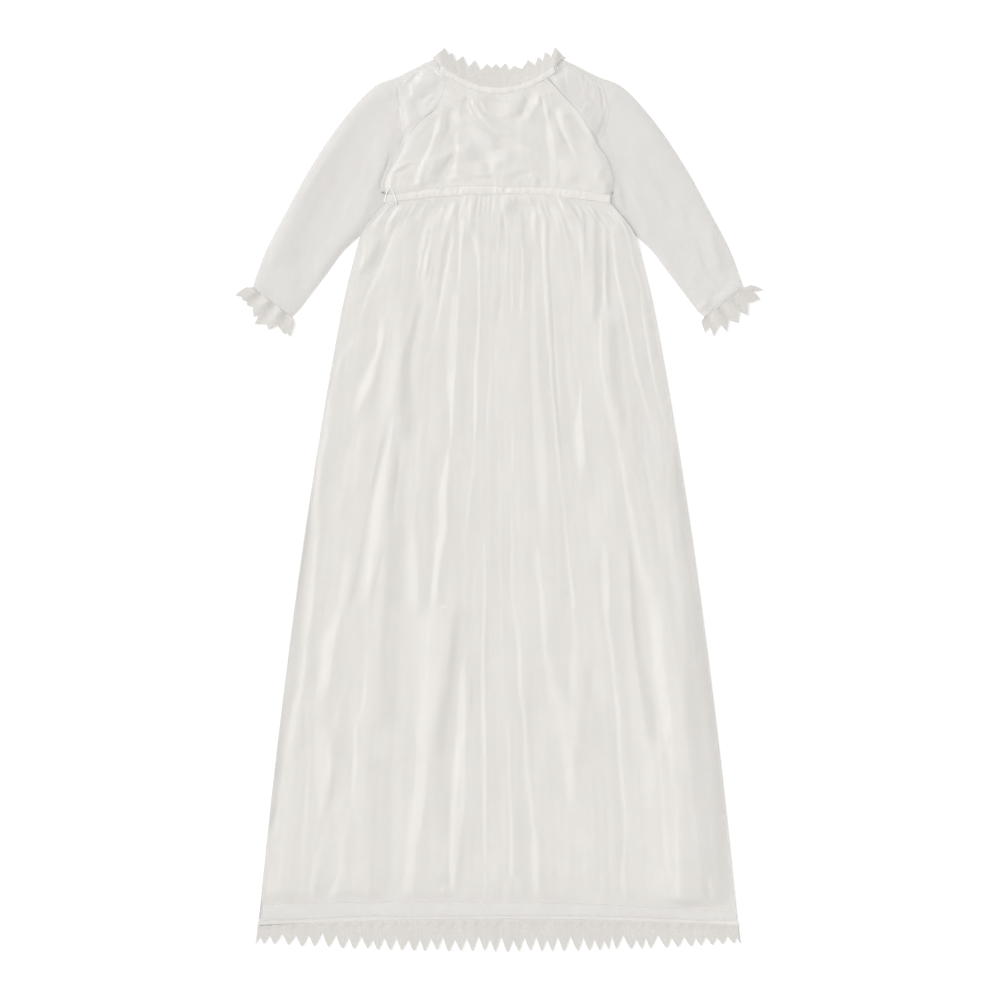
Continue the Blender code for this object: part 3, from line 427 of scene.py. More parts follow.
BODICE_STREAKS = streaks(
    (0.65, (-62, 408, 1), (-63, 398, 1.9), (-65, 388, 2.6), (-69, 376, 2), (-74, 363, 2), (-79, 352, 2),
     (-84, 339, 3.2), (-86, 326, 3.6)),
    (-0.35, (-55, 412, 4), (-54, 395, 5), (-58, 376, 4)),
    (-0.6, (-60, 364, 7), (-61, 348, 8), (-64, 334, 9), (-70, 324, 8)),
    (-0.6, (-49, 366, 2), (-54, 348, 4)),
    (0.6, (-44, 414, 1.5), (-45, 404, 4.4), (-44, 387, 5.4)),
    (-0.5, (-53, 410, 2.4), (-52, 386, 2.4)),
    (0.6, (-45, 386, 1), (-44, 375, 1.9), (-43, 362, 1.8), (-46, 349, 2), (-50, 339, 6), (-51, 333, 6)),
    (0.55, (-35, 398, 6), (-27, 388, 6), (-20, 380, 6), (-13, 371, 6), (-8, 360, 5), (-6, 350, 3),
     (-7, 340, 1.5)),
    (0.35, (2, 370, 7), (3, 352, 5)),
    (0.95, (-34, 418, 1.4), (-31, 411, 1.6), (-27, 403, 1.4)),
    (0.9, (-28, 426, 1.5), (-27, 415, 1.2), (-22, 406, 1.4), (-16, 399, 1.6), (-8, 391, 1.7), (2, 385, 3.4),
     (18, 376, 4), (31, 368, 3)),
    (0.6, (-20, 420, 1.1), (-16, 412, 1.5), (-13, 405, 1)),
    (0.6, (-14, 424, 1), (-9, 415, 1)),
    (-0.6, (-24, 419, 1.3), (-19, 410, 1.6), (-14, 403, 1.9), (-4, 397, 3), (10, 389, 2)),
    (-0.5, (-15, 420, 1), (-12, 410, 1.2)),
    (-0.7, (-13, 385, 1.8), (-4, 379, 2), (6, 372, 1.6)),
    (0.6, (0, 426, 7), (4, 414, 9), (10, 400, 8)),
    (-0.5, (-35, 424, 4), (-35, 416, 3.4)),
    (-0.55, (-28, 374, 7), (-24, 364, 10), (-20, 352, 6)),
    (-0.7, (-34, 341, 6), (-24, 333, 8), (-18, 328, 4)),
    (-0.4, (-13, 356, 3), (-13, 342, 3)),
    (-0.7, (-93, 354, 2), (-102, 346, 2.4), (-108, 342, 2)),
    (0.5, (-98, 357, 1.2), (-107, 347, 1.6)),
    (0.5, (-114, 340, 1), (-113, 330, 1)),
    (-0.4, (26, 427, 2), (26, 415, 3.4), (22, 406, 3), (17, 400, 2.4)),
    (0.55, (37, 430, 6), (37, 417, 5), (31, 406, 4), (25, 394, 5)),
    (0.6, (25, 431, 3), (23, 427, 1.4)),
    (-0.65, (43, 424, 1.5), (46, 410, 1.2)),
    (0.65, (47, 427, 1.5), (49, 410, 1.5), (52, 395, 2.2), (55, 380, 4), (57, 364, 3.6), (58, 345, 4),
     (58, 318, 3)),
    (0.35, (65, 362, 5), (69, 344, 7), (72, 330, 5)),
    (0.5, (53, 430, 1.1), (54, 420, 1.1), (57, 414, 1)),
    (-0.6, (54, 413, 1.4), (54, 400, 1.4)),
    (0.85, (62, 413, 2), (64, 402, 3.6), (67, 391, 2.4), (72, 380, 1.8), (77, 369, 1.9), (84, 354, 2.4)),
    (-0.65, (62, 393, 1.6), (66, 383, 2.6), (72, 371, 2.4)),
    (-0.5, (70, 412, 3), (78, 398, 5), (85, 382, 8), (90, 370, 6)),
    (-0.9, (84, 406, 1.6), (91, 398, 2.4), (97, 388, 2.6), (102, 373, 2)),
    (0.8, (111, 360, 1.3), (115, 348, 1.4)),
    (-0.6, (110, 349, 4), (111, 331, 5)),
    (-0.7, (102, 330, 5), (104, 321, 5)),
    (-0.55, (27, 348, 5), (12, 336, 5), (12, 326, 4)),
    (-0.6, (23, 338, 1.6), (23, 326, 1.6)),
    (0.6, (15, 332, 3), (14, 326, 3)),
    (0.7, (34, 345, 1.2), (33, 336, 1.2)),
    (-0.45, (43, 338, 3), (43, 326, 3)),
    (-0.6, (64, 330, 2.5), (64, 320, 2.5)),
    (0.7, (67, 330, 1.2), (67, 319, 1.2)),
    (0.7, (-41, 327, 6), (-40, 320, 5)),
    (0.6, (-24, 330, 1.4), (-21, 322, 1.6)),
    (0.8, (-11, 329, 1.6), (-11, 320, 1.6)),
    (0.5, (-3, 327, 2), (-2, 321, 4)),
)

SLEEVE_STREAKS = {
    -1: streaks(
        (-0.45, (-118, 430, 12), (-150, 390, 12), (-190, 325, 14), (-226, 240, 15)),
        (0.3, (-122, 385, 10), (-145, 325, 12), (-180, 262, 12), (-200, 215, 9)),
        (0.5, (-155, 318, 2), (-162, 300, 3), (-172, 289, 4), (-182, 279, 4)),
        (0.35, (-138, 318, 4), (-150, 297, 7), (-162, 278, 6)),
        (0.45, (-186, 260, 2), (-190, 249, 1.6), (-194, 239, 1)),
        (-0.35, (-203, 244, 3), (-210, 230, 2.4), (-215, 212, 2)),
        (0.25, (-125, 392, 2), (-134, 362, 3), (-148, 338, 3), (-158, 314, 2)),
        (0.2, (-127, 348, 2), (-140, 318, 2.4)),
        (0.2, (-176, 342, 2), (-185, 320, 2.4), (-191, 303, 2)),
        (-0.25, (-166, 352, 2), (-178, 325, 2.4)),
    ),
    1: streaks(
        (0.45, (128, 339, 1.6), (136, 325, 2), (143, 311, 2), (152, 292, 2.2), (158, 282, 2)),
        (-0.55, (124, 336, 3), (130, 320, 2.6), (135, 305, 2)),
        (-0.35, (193, 306, 2), (204, 276, 3), (212, 254, 4), (220, 234, 4)),
        (0.25, (197, 302, 1.4), (212, 244, 2), (228, 218, 2)),
        (-0.5, (226, 282, 4), (238, 250, 8), (246, 228, 9)),
        (-0.4, (125, 425, 6), (145, 402, 6)),
        (-0.5, (222, 214, 4), (221, 203, 4)),
        (0.2, (158, 365, 2), (176, 330, 2.4), (190, 300, 2)),
        (-0.2, (146, 366, 2), (168, 328, 3), (182, 300, 3)),
    ),
}
SHOULDER_STREAKS = {
    -1: streaks(
        (0.7, (-79, 452, 2.4), (-85, 441, 4), (-91, 432, 5), (-98, 425, 3)),
        (-0.8, (-85, 451, 2.4), (-94, 441, 3), (-100, 430, 2)),
        (0.9, (-92, 428, 4), (-97, 421, 4)),
        (0.5, (-100, 443, 3), (-101, 435, 3)),
        (-0.8, (-61, 444, 2.6), (-70, 433, 4.6), (-80, 425, 5), (-88, 417, 4), (-97, 411, 3)),
        (0.9, (-63, 430, 1.6), (-72, 423, 1.7), (-82, 415, 1.4)),
        (0.7, (-63, 420, 2), (-71, 413, 2)),
        (-0.6, (-67, 423, 1.5), (-77, 413, 1.6)),
        (-0.9, (-107, 418, 2), (-105, 406, 2)),
    ),
    1: streaks(
        (-0.65, (62, 447, 2.6), (67, 435, 4), (71, 422, 2.6)),
        (0.55, (71, 450, 1.4), (73, 434, 1.1)),
        (0.45, (86, 440, 1.2), (89, 432, 1.2)),
        (-0.5, (92, 444, 3), (93, 435, 3)),
        (-0.45, (97, 422, 4), (97, 415, 4)),
        (0.4, (96, 414, 4), (97, 408, 4)),
        (-0.5, (110, 416, 2), (110, 402, 2)),
    ),
}

# ---------------------------------------------------------------- curves and grids


def ease(t):
    t = np.clip(t, 0.0, 1.0)
    return t * t * (3.0 - 2.0 * t)


def mix(a, b, t):
    return a + (b - a) * t


def smooth_path(points, steps, per_span=10):
    """A smooth curve through the points, cut into equal steps, as an array of steps + 1 places. What follows
    x and y in a point is carried along."""
    knots = np.array(points, float)
    knots = np.vstack([2 * knots[0] - knots[1], knots, 2 * knots[-1] - knots[-2]])
    fine = []
    for a, b, c, d in zip(knots, knots[1:], knots[2:], knots[3:]):
        for k in range(per_span):
            t = k / per_span
            square, cube = 2 * a - 5 * b + 4 * c - d, 3 * b - a - 3 * c + d
            fine.append(0.5 * (2 * b + (c - a) * t + square * t**2 + cube * t**3))
    fine = np.array([*fine, knots[-2]])
    run = along(fine[None])[0]
    want = np.linspace(0, run[-1], steps + 1)
    return np.column_stack([np.interp(want, run, column) for column in fine.T])


def along(places):
    """How far each place lies along its row, mm."""
    steps = np.hypot(*np.moveaxis(np.diff(places[..., :2], axis=1), -1, 0))
    return np.concatenate([np.zeros((len(places), 1)), np.cumsum(steps, axis=1)], axis=1)


def from_sides(places):
    """How far each place lies along its row from the nearer side, mm."""
    run = along(places)
    return np.minimum(run, run[:, -1:] - run)


def cloth_between(top, foot, left, right, close_at_ends=0.0):
    """Places filled in between four edges that share their corners, as an array [row, column, xy]. The rows
    lie closer at both ends by the share close_at_ends."""
    even = np.linspace(0, 1, len(left))
    t = even - close_at_ends * np.sin(2 * np.pi * even) / (2 * np.pi)
    left, right = (np.column_stack([np.interp(t, even, column) for column in e.T]) for e in (left, right))
    across = along(top[None])[0]
    down, across = t[:, None, None], (across / across[-1])[None, :, None]
    sides = mix(left[:, None], right[:, None], across)
    ends = mix(top[None], foot[None], down)
    corners = mix(mix(top[0], top[-1], across), mix(foot[0], foot[-1], across), down)
    return sides + ends - corners


def cut_short(grid, rows_off):
    """The grid with rows_off rows taken off the foot of each column."""
    last = len(grid) - 1
    at = np.linspace(0, 1, last + 1)[:, None] * (last - rows_off[None])
    low = np.minimum(np.floor(at).astype(int), last - 1)
    part = (at - low).reshape(at.shape + (1,) * (grid.ndim - 2))
    column = np.arange(grid.shape[1])[None]
    return mix(grid[low, column], grid[low + 1, column], part)


def trimmed(grid, run, off):
    """The grid with both ends of its rows cut back by off, mm."""
    rows = []
    for row, place in zip(grid, run):
        want = np.linspace(off, place[-1] - off, len(place))
        rows.append(np.column_stack([np.interp(want, place, column) for column in row.T]))
    return np.array(rows)


def mottle(u, v, seed):
    """Smooth unevenness between -1 and 1. One cell of it is 1 wide in u and v."""
    table = np.random.default_rng(seed).uniform(-1, 1, (256, 64))
    i, j = np.floor(u).astype(int), np.floor(v).astype(int)
    a, b = ease(u - i), ease(v - j)
    i, j, i_next, j_next = i % 256, j % 64, (i + 1) % 256, (j + 1) % 64
    return mix(mix(table[i, j], table[i_next, j], a), mix(table[i, j_next], table[i_next, j_next], a), b)


def lean_at(places, table):
    """The lean of a table's streaks at each place. Beside a streak the cloth comes back slowly, so that it
    rises as much as it falls."""
    x, y = places[..., 0], places[..., 1]
    step = np.hypot(*np.moveaxis(np.gradient(places, axis=1), -1, 0))
    total = np.zeros(x.shape)
    for k, streak in enumerate(table):
        line = smooth_path(streak.path, 40)
        line = line[np.argsort(line[:, 1])]
        line_x, line_y, half = line.T
        lean = streak.lean * mix(0.94, 1.2, ease((half.max() - 2.0) / 5))
        line_y = line_y + 1e-5 * np.arange(len(line_y))
        inside = (y > line_y[0]) & (y < line_y[-1])
        at = y[inside]
        upright = 1 / np.hypot(1, np.interp(at, line_y, np.gradient(line_x, line_y)))
        wander = 0.6 * mottle(at / 9, at * 0 + 0.37 * k, 11)
        away = (x[inside] - np.interp(at, line_y, line_x) - wander) * upright
        wide = np.interp(at, line_y, half)
        drawn = np.maximum(wide, 1.1 * step[inside])
        back = 7 + 2.2 * wide
        fade = ease(np.minimum(at - line_y[0], line_y[-1] - at) / min(10, 0.3 * (line_y[-1] - line_y[0])))
        streak_part = wide / drawn * np.exp(-((away / drawn) ** 6))
        back_part = 1.047 * wide / back * np.exp(-((away / back) ** 2))
        total[inside] += lean * upright * fade * (streak_part - back_part)
    return total


def risen(slope, places, reach=55.0):
    """Heights that give the cloth its slope along each row, without what is wider than reach."""
    run = along(places)
    step = np.diff(run, axis=1)

    def summed(values):
        parts = (values[:, 1:] + values[:, :-1]) / 2 * step
        return np.concatenate([np.zeros((len(run), 1)), np.cumsum(parts, axis=1)], axis=1)

    rise = summed(slope)
    area = summed(rise)
    for row, place, total in zip(rise, run, area):
        low, high = np.maximum(place - reach, 0), np.minimum(place + reach, place[-1])
        row -= (np.interp(high, place, total) - np.interp(low, place, total)) / (high - low)
    return rise


def settled(height, deep=1.4, high=6.5):
    """The heights between -deep and high, bent in softly."""
    return np.where(height < 0, deep * np.tanh(height / deep), high * np.tanh(height / high))


def rolled(away, wide, power):
    """The share of its full height that cloth has risen to at a distance away from its side, mm."""
    return 1 - (1 - np.minimum(away / wide, 1)) ** power


def neck_line(t):
    return np.column_stack([NECK_HALF * t, NECK_Y + NECK_RISE * t * t])


def neck_line_top(t):
    return np.column_stack([BINDING_TOP_HALF * t, NECK_Y + BINDING_HEIGHT + NECK_RISE * t * t])


def waist_line(t, below=0.0):
    return np.column_stack([WAIST_HALF * t, WAIST_END_Y + WAIST_RISE * (1 - t * t) - below])


def hem_line(t):
    return np.column_stack([HEM_HALF * t, HEM_Y - HEM_DROP * t * t])


# ---------------------------------------------------------------- meshes


def piece_from(bm, name, cloth, replaced):
    """Make a piece of the gown from bm, whose points are in mm. It stands for the solids in replaced."""
    bm.transform(Matrix.Scale(MM, 4))
    mesh = bpy.data.meshes.new(name)
    for face in bm.faces:
        face.smooth = True
    for edge in bm.edges:
        edge.smooth = not edge.is_boundary
    bm.to_mesh(mesh)
    bm.free()
    mesh.materials.append(cloth)
    piece = bpy.data.objects.new(name, mesh)
    bpy.context.scene.collection.objects.link(piece)
    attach(piece, "root")
    if replaced:
        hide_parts(*replaced)
    return piece


def grid_mesh(points, closed=False):
    """A surface through points[row, column, xyz], with its UV map in mm along the cloth."""
    rows, columns = points.shape[0] - 1, points.shape[1] - 1
    bm = bmesh.new()
    uv = bm.loops.layers.uv.new("cloth")
    bmesh.ops.create_grid(bm, x_segments=columns, y_segments=rows, size=0.5, calc_uvs=True)
    width = along(points[rows // 2][None])[0, -1]
    length = along(points[:, columns // 4][None])[0, -1]
    for face in bm.faces:
        for loop in face.loops:
            loop[uv].uv = loop[uv].uv[0] * width, loop[uv].uv[1] * length
    for v in bm.verts:
        v.co = points[round((0.5 - v.co.y) * rows), round((v.co.x + 0.5) * columns)]
    if closed:
        bmesh.ops.remove_doubles(bm, verts=bm.verts[:], dist=0.001)
    bmesh.ops.recalc_face_normals(bm, faces=bm.faces[:])
    return bm


def thicken(piece, thickness, offset):
    wall = piece.modifiers.new("wall", "SOLIDIFY")
    wall.thickness = thickness * MM
    wall.offset = offset


def panel(name, places, height, thickness, cloth, replaced):
    """A cut piece of cloth on places[row, column], its underside at height."""
    bm = grid_mesh(np.dstack([places, height]))
    if sum(face.normal.z for face in bm.faces) < 0:
        bmesh.ops.reverse_faces(bm, faces=bm.faces[:])
    piece = piece_from(bm, name, cloth, replaced)
    thicken(piece, thickness, 1.0)
    return piece


def tube(name, places, front, thickness, cloth, replaced, behind=None):
    """A ring of cloth pressed flat: its front wall at height front and its back wall at DRESS_BACK. Both are
    the outer faces, and they meet in a fold at each end of a row. The back wall can be of another cloth."""
    walls = []
    for xy, top in zip(places, front):
        ground = np.full(top.shape, DRESS_BACK)
        outward = [xy[0] - xy[1], xy[-1] - xy[-2]]
        outward = [v / max(np.hypot(*v), 1e-6) * FOLD_RADIUS for v in outward]
        upper = np.column_stack([xy, top])
        lower = np.column_stack([xy, ground])[::-1]
        middle = [(top[0] + ground[0]) / 2, (top[-1] + ground[-1]) / 2]
        turn = [np.array([[*(xy[k] + outward[k]), middle[k]]]) for k in (0, -1)]
        walls.append(np.vstack([upper, turn[1], lower, turn[0], upper[:1]]))
    bm = grid_mesh(np.array(walls), closed=True)
    if behind:
        for face in bm.faces:
            face.material_index = int(face.normal.z < -0.5)
    piece = piece_from(bm, name, cloth, replaced)
    if behind:
        piece.data.materials.append(behind)
    thicken(piece, thickness, -1.0)
    return piece


def stitches(name, path, pitch, length):
    """A row of hand stitches along path, whose points are x, y and height."""
    run = along(path[None])[0]
    bm = bmesh.new()
    bm.loops.layers.uv.new("cloth")
    for s in np.arange(pitch / 2, run[-1], pitch):
        here, ahead = ([np.interp(v, run, path[:, i]) for i in range(3)] for v in (s, s + 0.5))
        turn = Matrix.Rotation(math.atan2(ahead[1] - here[1], ahead[0] - here[0]), 4, "Z")
        size = Matrix.Diagonal((length / 2, 0.2, 0.14, 1))
        place = Matrix.Translation(here) @ turn @ size
        bmesh.ops.create_icosphere(bm, subdivisions=1, radius=1, matrix=place)
    return piece_from(bm, name, satin, [])


def cord_along(name, path, width, thickness, cloth, slot):
    """A narrow folded strip along path, whose points are x, y and height."""
    ahead = np.gradient(path[:, :2], axis=0)
    side = np.column_stack([-ahead[:, 1], ahead[:, 0]]) / np.hypot(*ahead.T)[:, None]
    turn = np.linspace(0, 2 * np.pi, 9)
    across, up = np.cos(turn) * width / 2, np.sin(turn) * thickness / 2
    around = np.dstack([side[:, None] * across[None, :, None], np.tile(up, (len(path), 1))])
    ring = path[:, None] + around
    bm = grid_mesh(ring, closed=True)
    bmesh.ops.holes_fill(bm, edges=[e for e in bm.edges if e.is_boundary], sides=8)
    bmesh.ops.recalc_face_normals(bm, faces=bm.faces[:])
    return piece_from(bm, name, cloth, [])


# ---------------------------------------------------------------- materials


def linear(hex_colour):
    """An sRGB hex colour as linear RGBA."""
    parts = [int(hex_colour[i : i + 2], 16) / 255 for i in (1, 3, 5)]
    return (*[p / 12.92 if p <= 0.04045 else ((p + 0.055) / 1.055) ** 2.4 for p in parts], 1.0)


def add(tree, kind, links=None, **settings):
    """Add a node. links gives its inputs, from other nodes or as values, and settings its own properties."""
    node = tree.nodes.new(kind)
    for key, value in settings.items():
        setattr(node, key, value)
    for key, value in (links or {}).items():
        if isinstance(value, bpy.types.NodeSocket):
            tree.links.new(value, node.inputs[key])
        else:
            node.inputs[key].default_value = value
    return node


def cloth_material(name, colour, warm, roughness, alpha, thread_mm, depth, streak_mm, eyelet_mm=0.0):
    """Woven cloth. Threads cross at thread_mm, and the yarn's own unevenness runs along the piece in streaks.
    With eyelet_mm, small eyelets lie that far apart, each a dent in the relief with painted shade in it. The
    relief is depth high, mm."""
    material = bpy.data.materials.new(name)
    material.use_nodes = True
    tree = material.node_tree
    shader = tree.nodes["Principled BSDF"]
    place = add(tree, "ShaderNodeUVMap", uv_map="cloth").outputs["UV"]
    long_and_thin = (1 / streak_mm, 1 / (24 * streak_mm), 1)
    warp = add(tree, "ShaderNodeMapping", {"Vector": place, "Scale": long_and_thin})
    yarn = {"Vector": warp.outputs[0], "Scale": 1.0, "Detail": 3.0, "Roughness": 0.6}
    slub = add(tree, "ShaderNodeTexNoise", yarn)
    blotch = add(tree, "ShaderNodeTexNoise", {"Vector": place, "Scale": 0.03, "Detail": 3.0})
    both = add(tree, "ShaderNodeMath", {0: slub.outputs["Fac"], 1: blotch.outputs["Fac"]}, operation="ADD")
    tone = add(tree, "ShaderNodeMapRange", {"Value": both.outputs[0], "From Min": 0.75, "From Max": 1.25})
    threads = (1 / thread_mm, 1 / thread_mm, 1)
    thread_size = add(tree, "ShaderNodeMapping", {"Vector": place, "Scale": threads})
    weave = add(tree, "ShaderNodeTexNoise", {"Vector": thread_size.outputs[0], "Scale": 1.0, "Detail": 1.0})
    relief = add(tree, "ShaderNodeMath", {0: weave.outputs["Fac"], 1: slub.outputs["Fac"]}, operation="ADD")
    # eyelets: a soft spot at the middle of each cell is sunk in the relief and painted darker as shade
    if eyelet_mm:
        size = add(tree, "ShaderNodeMapping", {"Vector": place, "Scale": (1 / eyelet_mm, 1 / eyelet_mm, 1)})
        eyelet_cells = {"Vector": size.outputs[0], "Scale": 1.0}
        cell = add(tree, "ShaderNodeTexVoronoi", eyelet_cells, voronoi_dimensions="2D")
        # the darker hollow at each cell's middle is painted shade
        rim = {"Value": cell.outputs["Distance"], "From Min": 0.5, "From Max": 0.15}
        ring = add(tree, "ShaderNodeMapRange", rim)
        tone = add(tree, "ShaderNodeMath", {0: tone.outputs[0], 1: ring.outputs[0]}, operation="SUBTRACT")
        tone.use_clamp = True
        relief = add(tree, "ShaderNodeMath", {0: relief.outputs[0], 1: ring.outputs[0]}, operation="SUBTRACT")
    tones = {0: tone.outputs[0], 6: linear(warm), 7: linear(colour)}
    ramp = add(tree, "ShaderNodeMix", tones, data_type="RGBA")
    tree.links.new(ramp.outputs[2], shader.inputs["Base Color"])
    raised = {"Height": relief.outputs[0], "Strength": 1.0, "Distance": depth * MM}
    bump = add(tree, "ShaderNodeBump", raised)
    tree.links.new(bump.outputs[0], shader.inputs["Normal"])
    shader.inputs["Roughness"].default_value = roughness
    shader.inputs["Alpha"].default_value = alpha
    return material


SATIN_WEAVE = {"roughness": 0.38, "alpha": 1.0, "thread_mm": 1.2, "depth": 0.02, "streak_mm": 1.6}
ORGANZA_WEAVE = {"thread_mm": 1.0, "depth": 0.03, "streak_mm": 1.4}
LACE_WORK = {"thread_mm": 1.2, "depth": 0.05, "streak_mm": 2.4, "eyelet_mm": 3.4}

# Satin, woven with long floats: it gives soft bright streaks along its folds.
satin = cloth_material("ivory_satin_slip", "#ECEAE7", "#E7E5E1", **SATIN_WEAVE)
# One layer of the same satin, with nothing behind it: the light that goes through it is painted in as shade,
# so its colour is a little greyer.
satin_painted_greyer = cloth_material("ivory_satin_single_painted_shade", "#E8E6E3", "#E2E0DD", **SATIN_WEAVE)
# Organza, a stiff open plain weave of fine twisted yarn: it is matt, and what lies under it shows through.
organza = cloth_material("matt_organza", "#EBE9E6", "#E7E4E1", roughness=0.8, alpha=0.2, **ORGANZA_WEAVE)
# The same organza where it lies on the ground, with its own shadow painted in: drawn more than twice as dense
# and a little darker.
organza_painted_shadow = cloth_material(
    "matt_organza_painted_shadow", "#E9E7E4", "#E5E2DF", roughness=0.8, alpha=0.5, **ORGANZA_WEAVE
)
# The same organza folded to four or more layers in the seams, where nothing shows through any more.
seam_organza = cloth_material(
    "folded_organza_seam", "#E3E0DC", "#DDDAD5", roughness=0.75, alpha=1.0, **ORGANZA_WEAVE
)
# Embroidered lace with pointed edges: dull, dense and a little uneven in tone.
lace_cloth = cloth_material("embroidered_lace", "#D9D6D2", "#D1CEC9", roughness=0.8, alpha=1.0, **LACE_WORK)

# ---------------------------------------------------------------- pieces


def satin_panel(node, places, height, cloth=satin):
    """A piece of the slip, in place of its solid."""
    return panel(node + "_satin", places, height, SATIN, cloth, [node])


def organza_panel(node, places, height, cloth):
    """A piece of the dress, in place of its solid."""
    return panel(node + "_organza", places, height, ORGANZA, cloth, [node])


def bodice_places(rows, columns):
    left = smooth_path(RAGLAN[-1], rows) - (0.6, 0)
    right = smooth_path(RAGLAN[1], rows) + (0.6, 0)
    reach = NECK_CORNER_X / NECK_HALF
    top = neck_line(np.linspace(-reach, reach, columns + 1)) + (0, TUCK)
    foot = waist_line(np.linspace(-1, 1, columns + 1), TUCK)
    top[0], top[-1] = left[0], right[0]
    left[-1], right[-1] = foot[0], foot[-1]
    return cloth_between(top, foot, left, right)


def make_bodice():
    places = bodice_places(*BODICE_GRID)
    edge = from_sides(places)
    s = np.linspace(0, 2 * WAIST_HALF, places.shape[1])[None] + 0 * edge
    y = places[..., 1]
    from_neck = y[0][None] - y
    from_waist = y - y[-1][None]
    slope = 1.3 * STEEP * lean_at(places, BODICE_STREAKS)
    slope += 0.045 * mottle(s / 3.2, y / 34, 3) + 0.04 * mottle(s / 7.5, y / 50, 4)
    slope += 0.35 * mottle(s / 2.6, y / 22, 5) * np.exp(-from_neck / 6)
    slope += 0.6 * mottle(s / 2.6, y / 22, 6) * np.exp(-from_waist / 7)
    hold = ease(edge / 9) * mix(0.12, 1.0, ease(np.minimum(from_neck, from_waist) / 12))
    folds = LIFT + settled(risen(slope, places)) * hold
    folds -= 0.15 * np.exp(-((edge / 1.6) ** 2))
    folds -= 0.3 * np.exp(-((from_waist / TUCK) ** 2)) + 0.3 * np.exp(-((from_neck / TUCK) ** 2))
    by_armhole = ease((ARMHOLE_TOP - y) / 20) * (1 - rolled(edge, 10, 1.7))
    front = SLIP_FRONT + folds - (SLIP_FRONT - SLIP_EDGE) * by_armhole
    back = bodice_places(*BODICE_BACK_GRID)
    flat = np.full(back.shape[:2], DRESS_BACK)
    lining = mix(SLIP_BACK_EDGE, SLIP_BACK, ease(from_sides(back) / 20))
    slip_back = satin_panel("slip_bodice_back", back, lining)
    slip = satin_panel("slip_bodice_front", places, front)
    behind = organza_panel("bodice_back", back, flat, organza_painted_shadow)
    dress = organza_panel("bodice_front", places, DRESS_FRONT + folds, organza)


def skirt_places(rows, columns):
    side = smooth_path(SKIRT_SIDE, rows)
    left, right = side * (-1, 1), side
    top = waist_line(np.linspace(-1, 1, columns + 1), BAND_HEIGHT - TUCK)
    foot = hem_line(np.linspace(-1, 1, columns + 1))
    top[0], top[-1] = left[0], right[0]
    foot[0], foot[-1] = left[-1], right[-1]
    return cloth_between(top, foot, left, right, 0.5)


def slip_back_level(edge, hem_rise):
    """Height of the slip's back, which lies down on the dress at its sides and hem."""
    return mix(SLIP_BACK_EDGE, SLIP_BACK, ease((np.minimum(edge, hem_rise - 8) - 6) / 40))


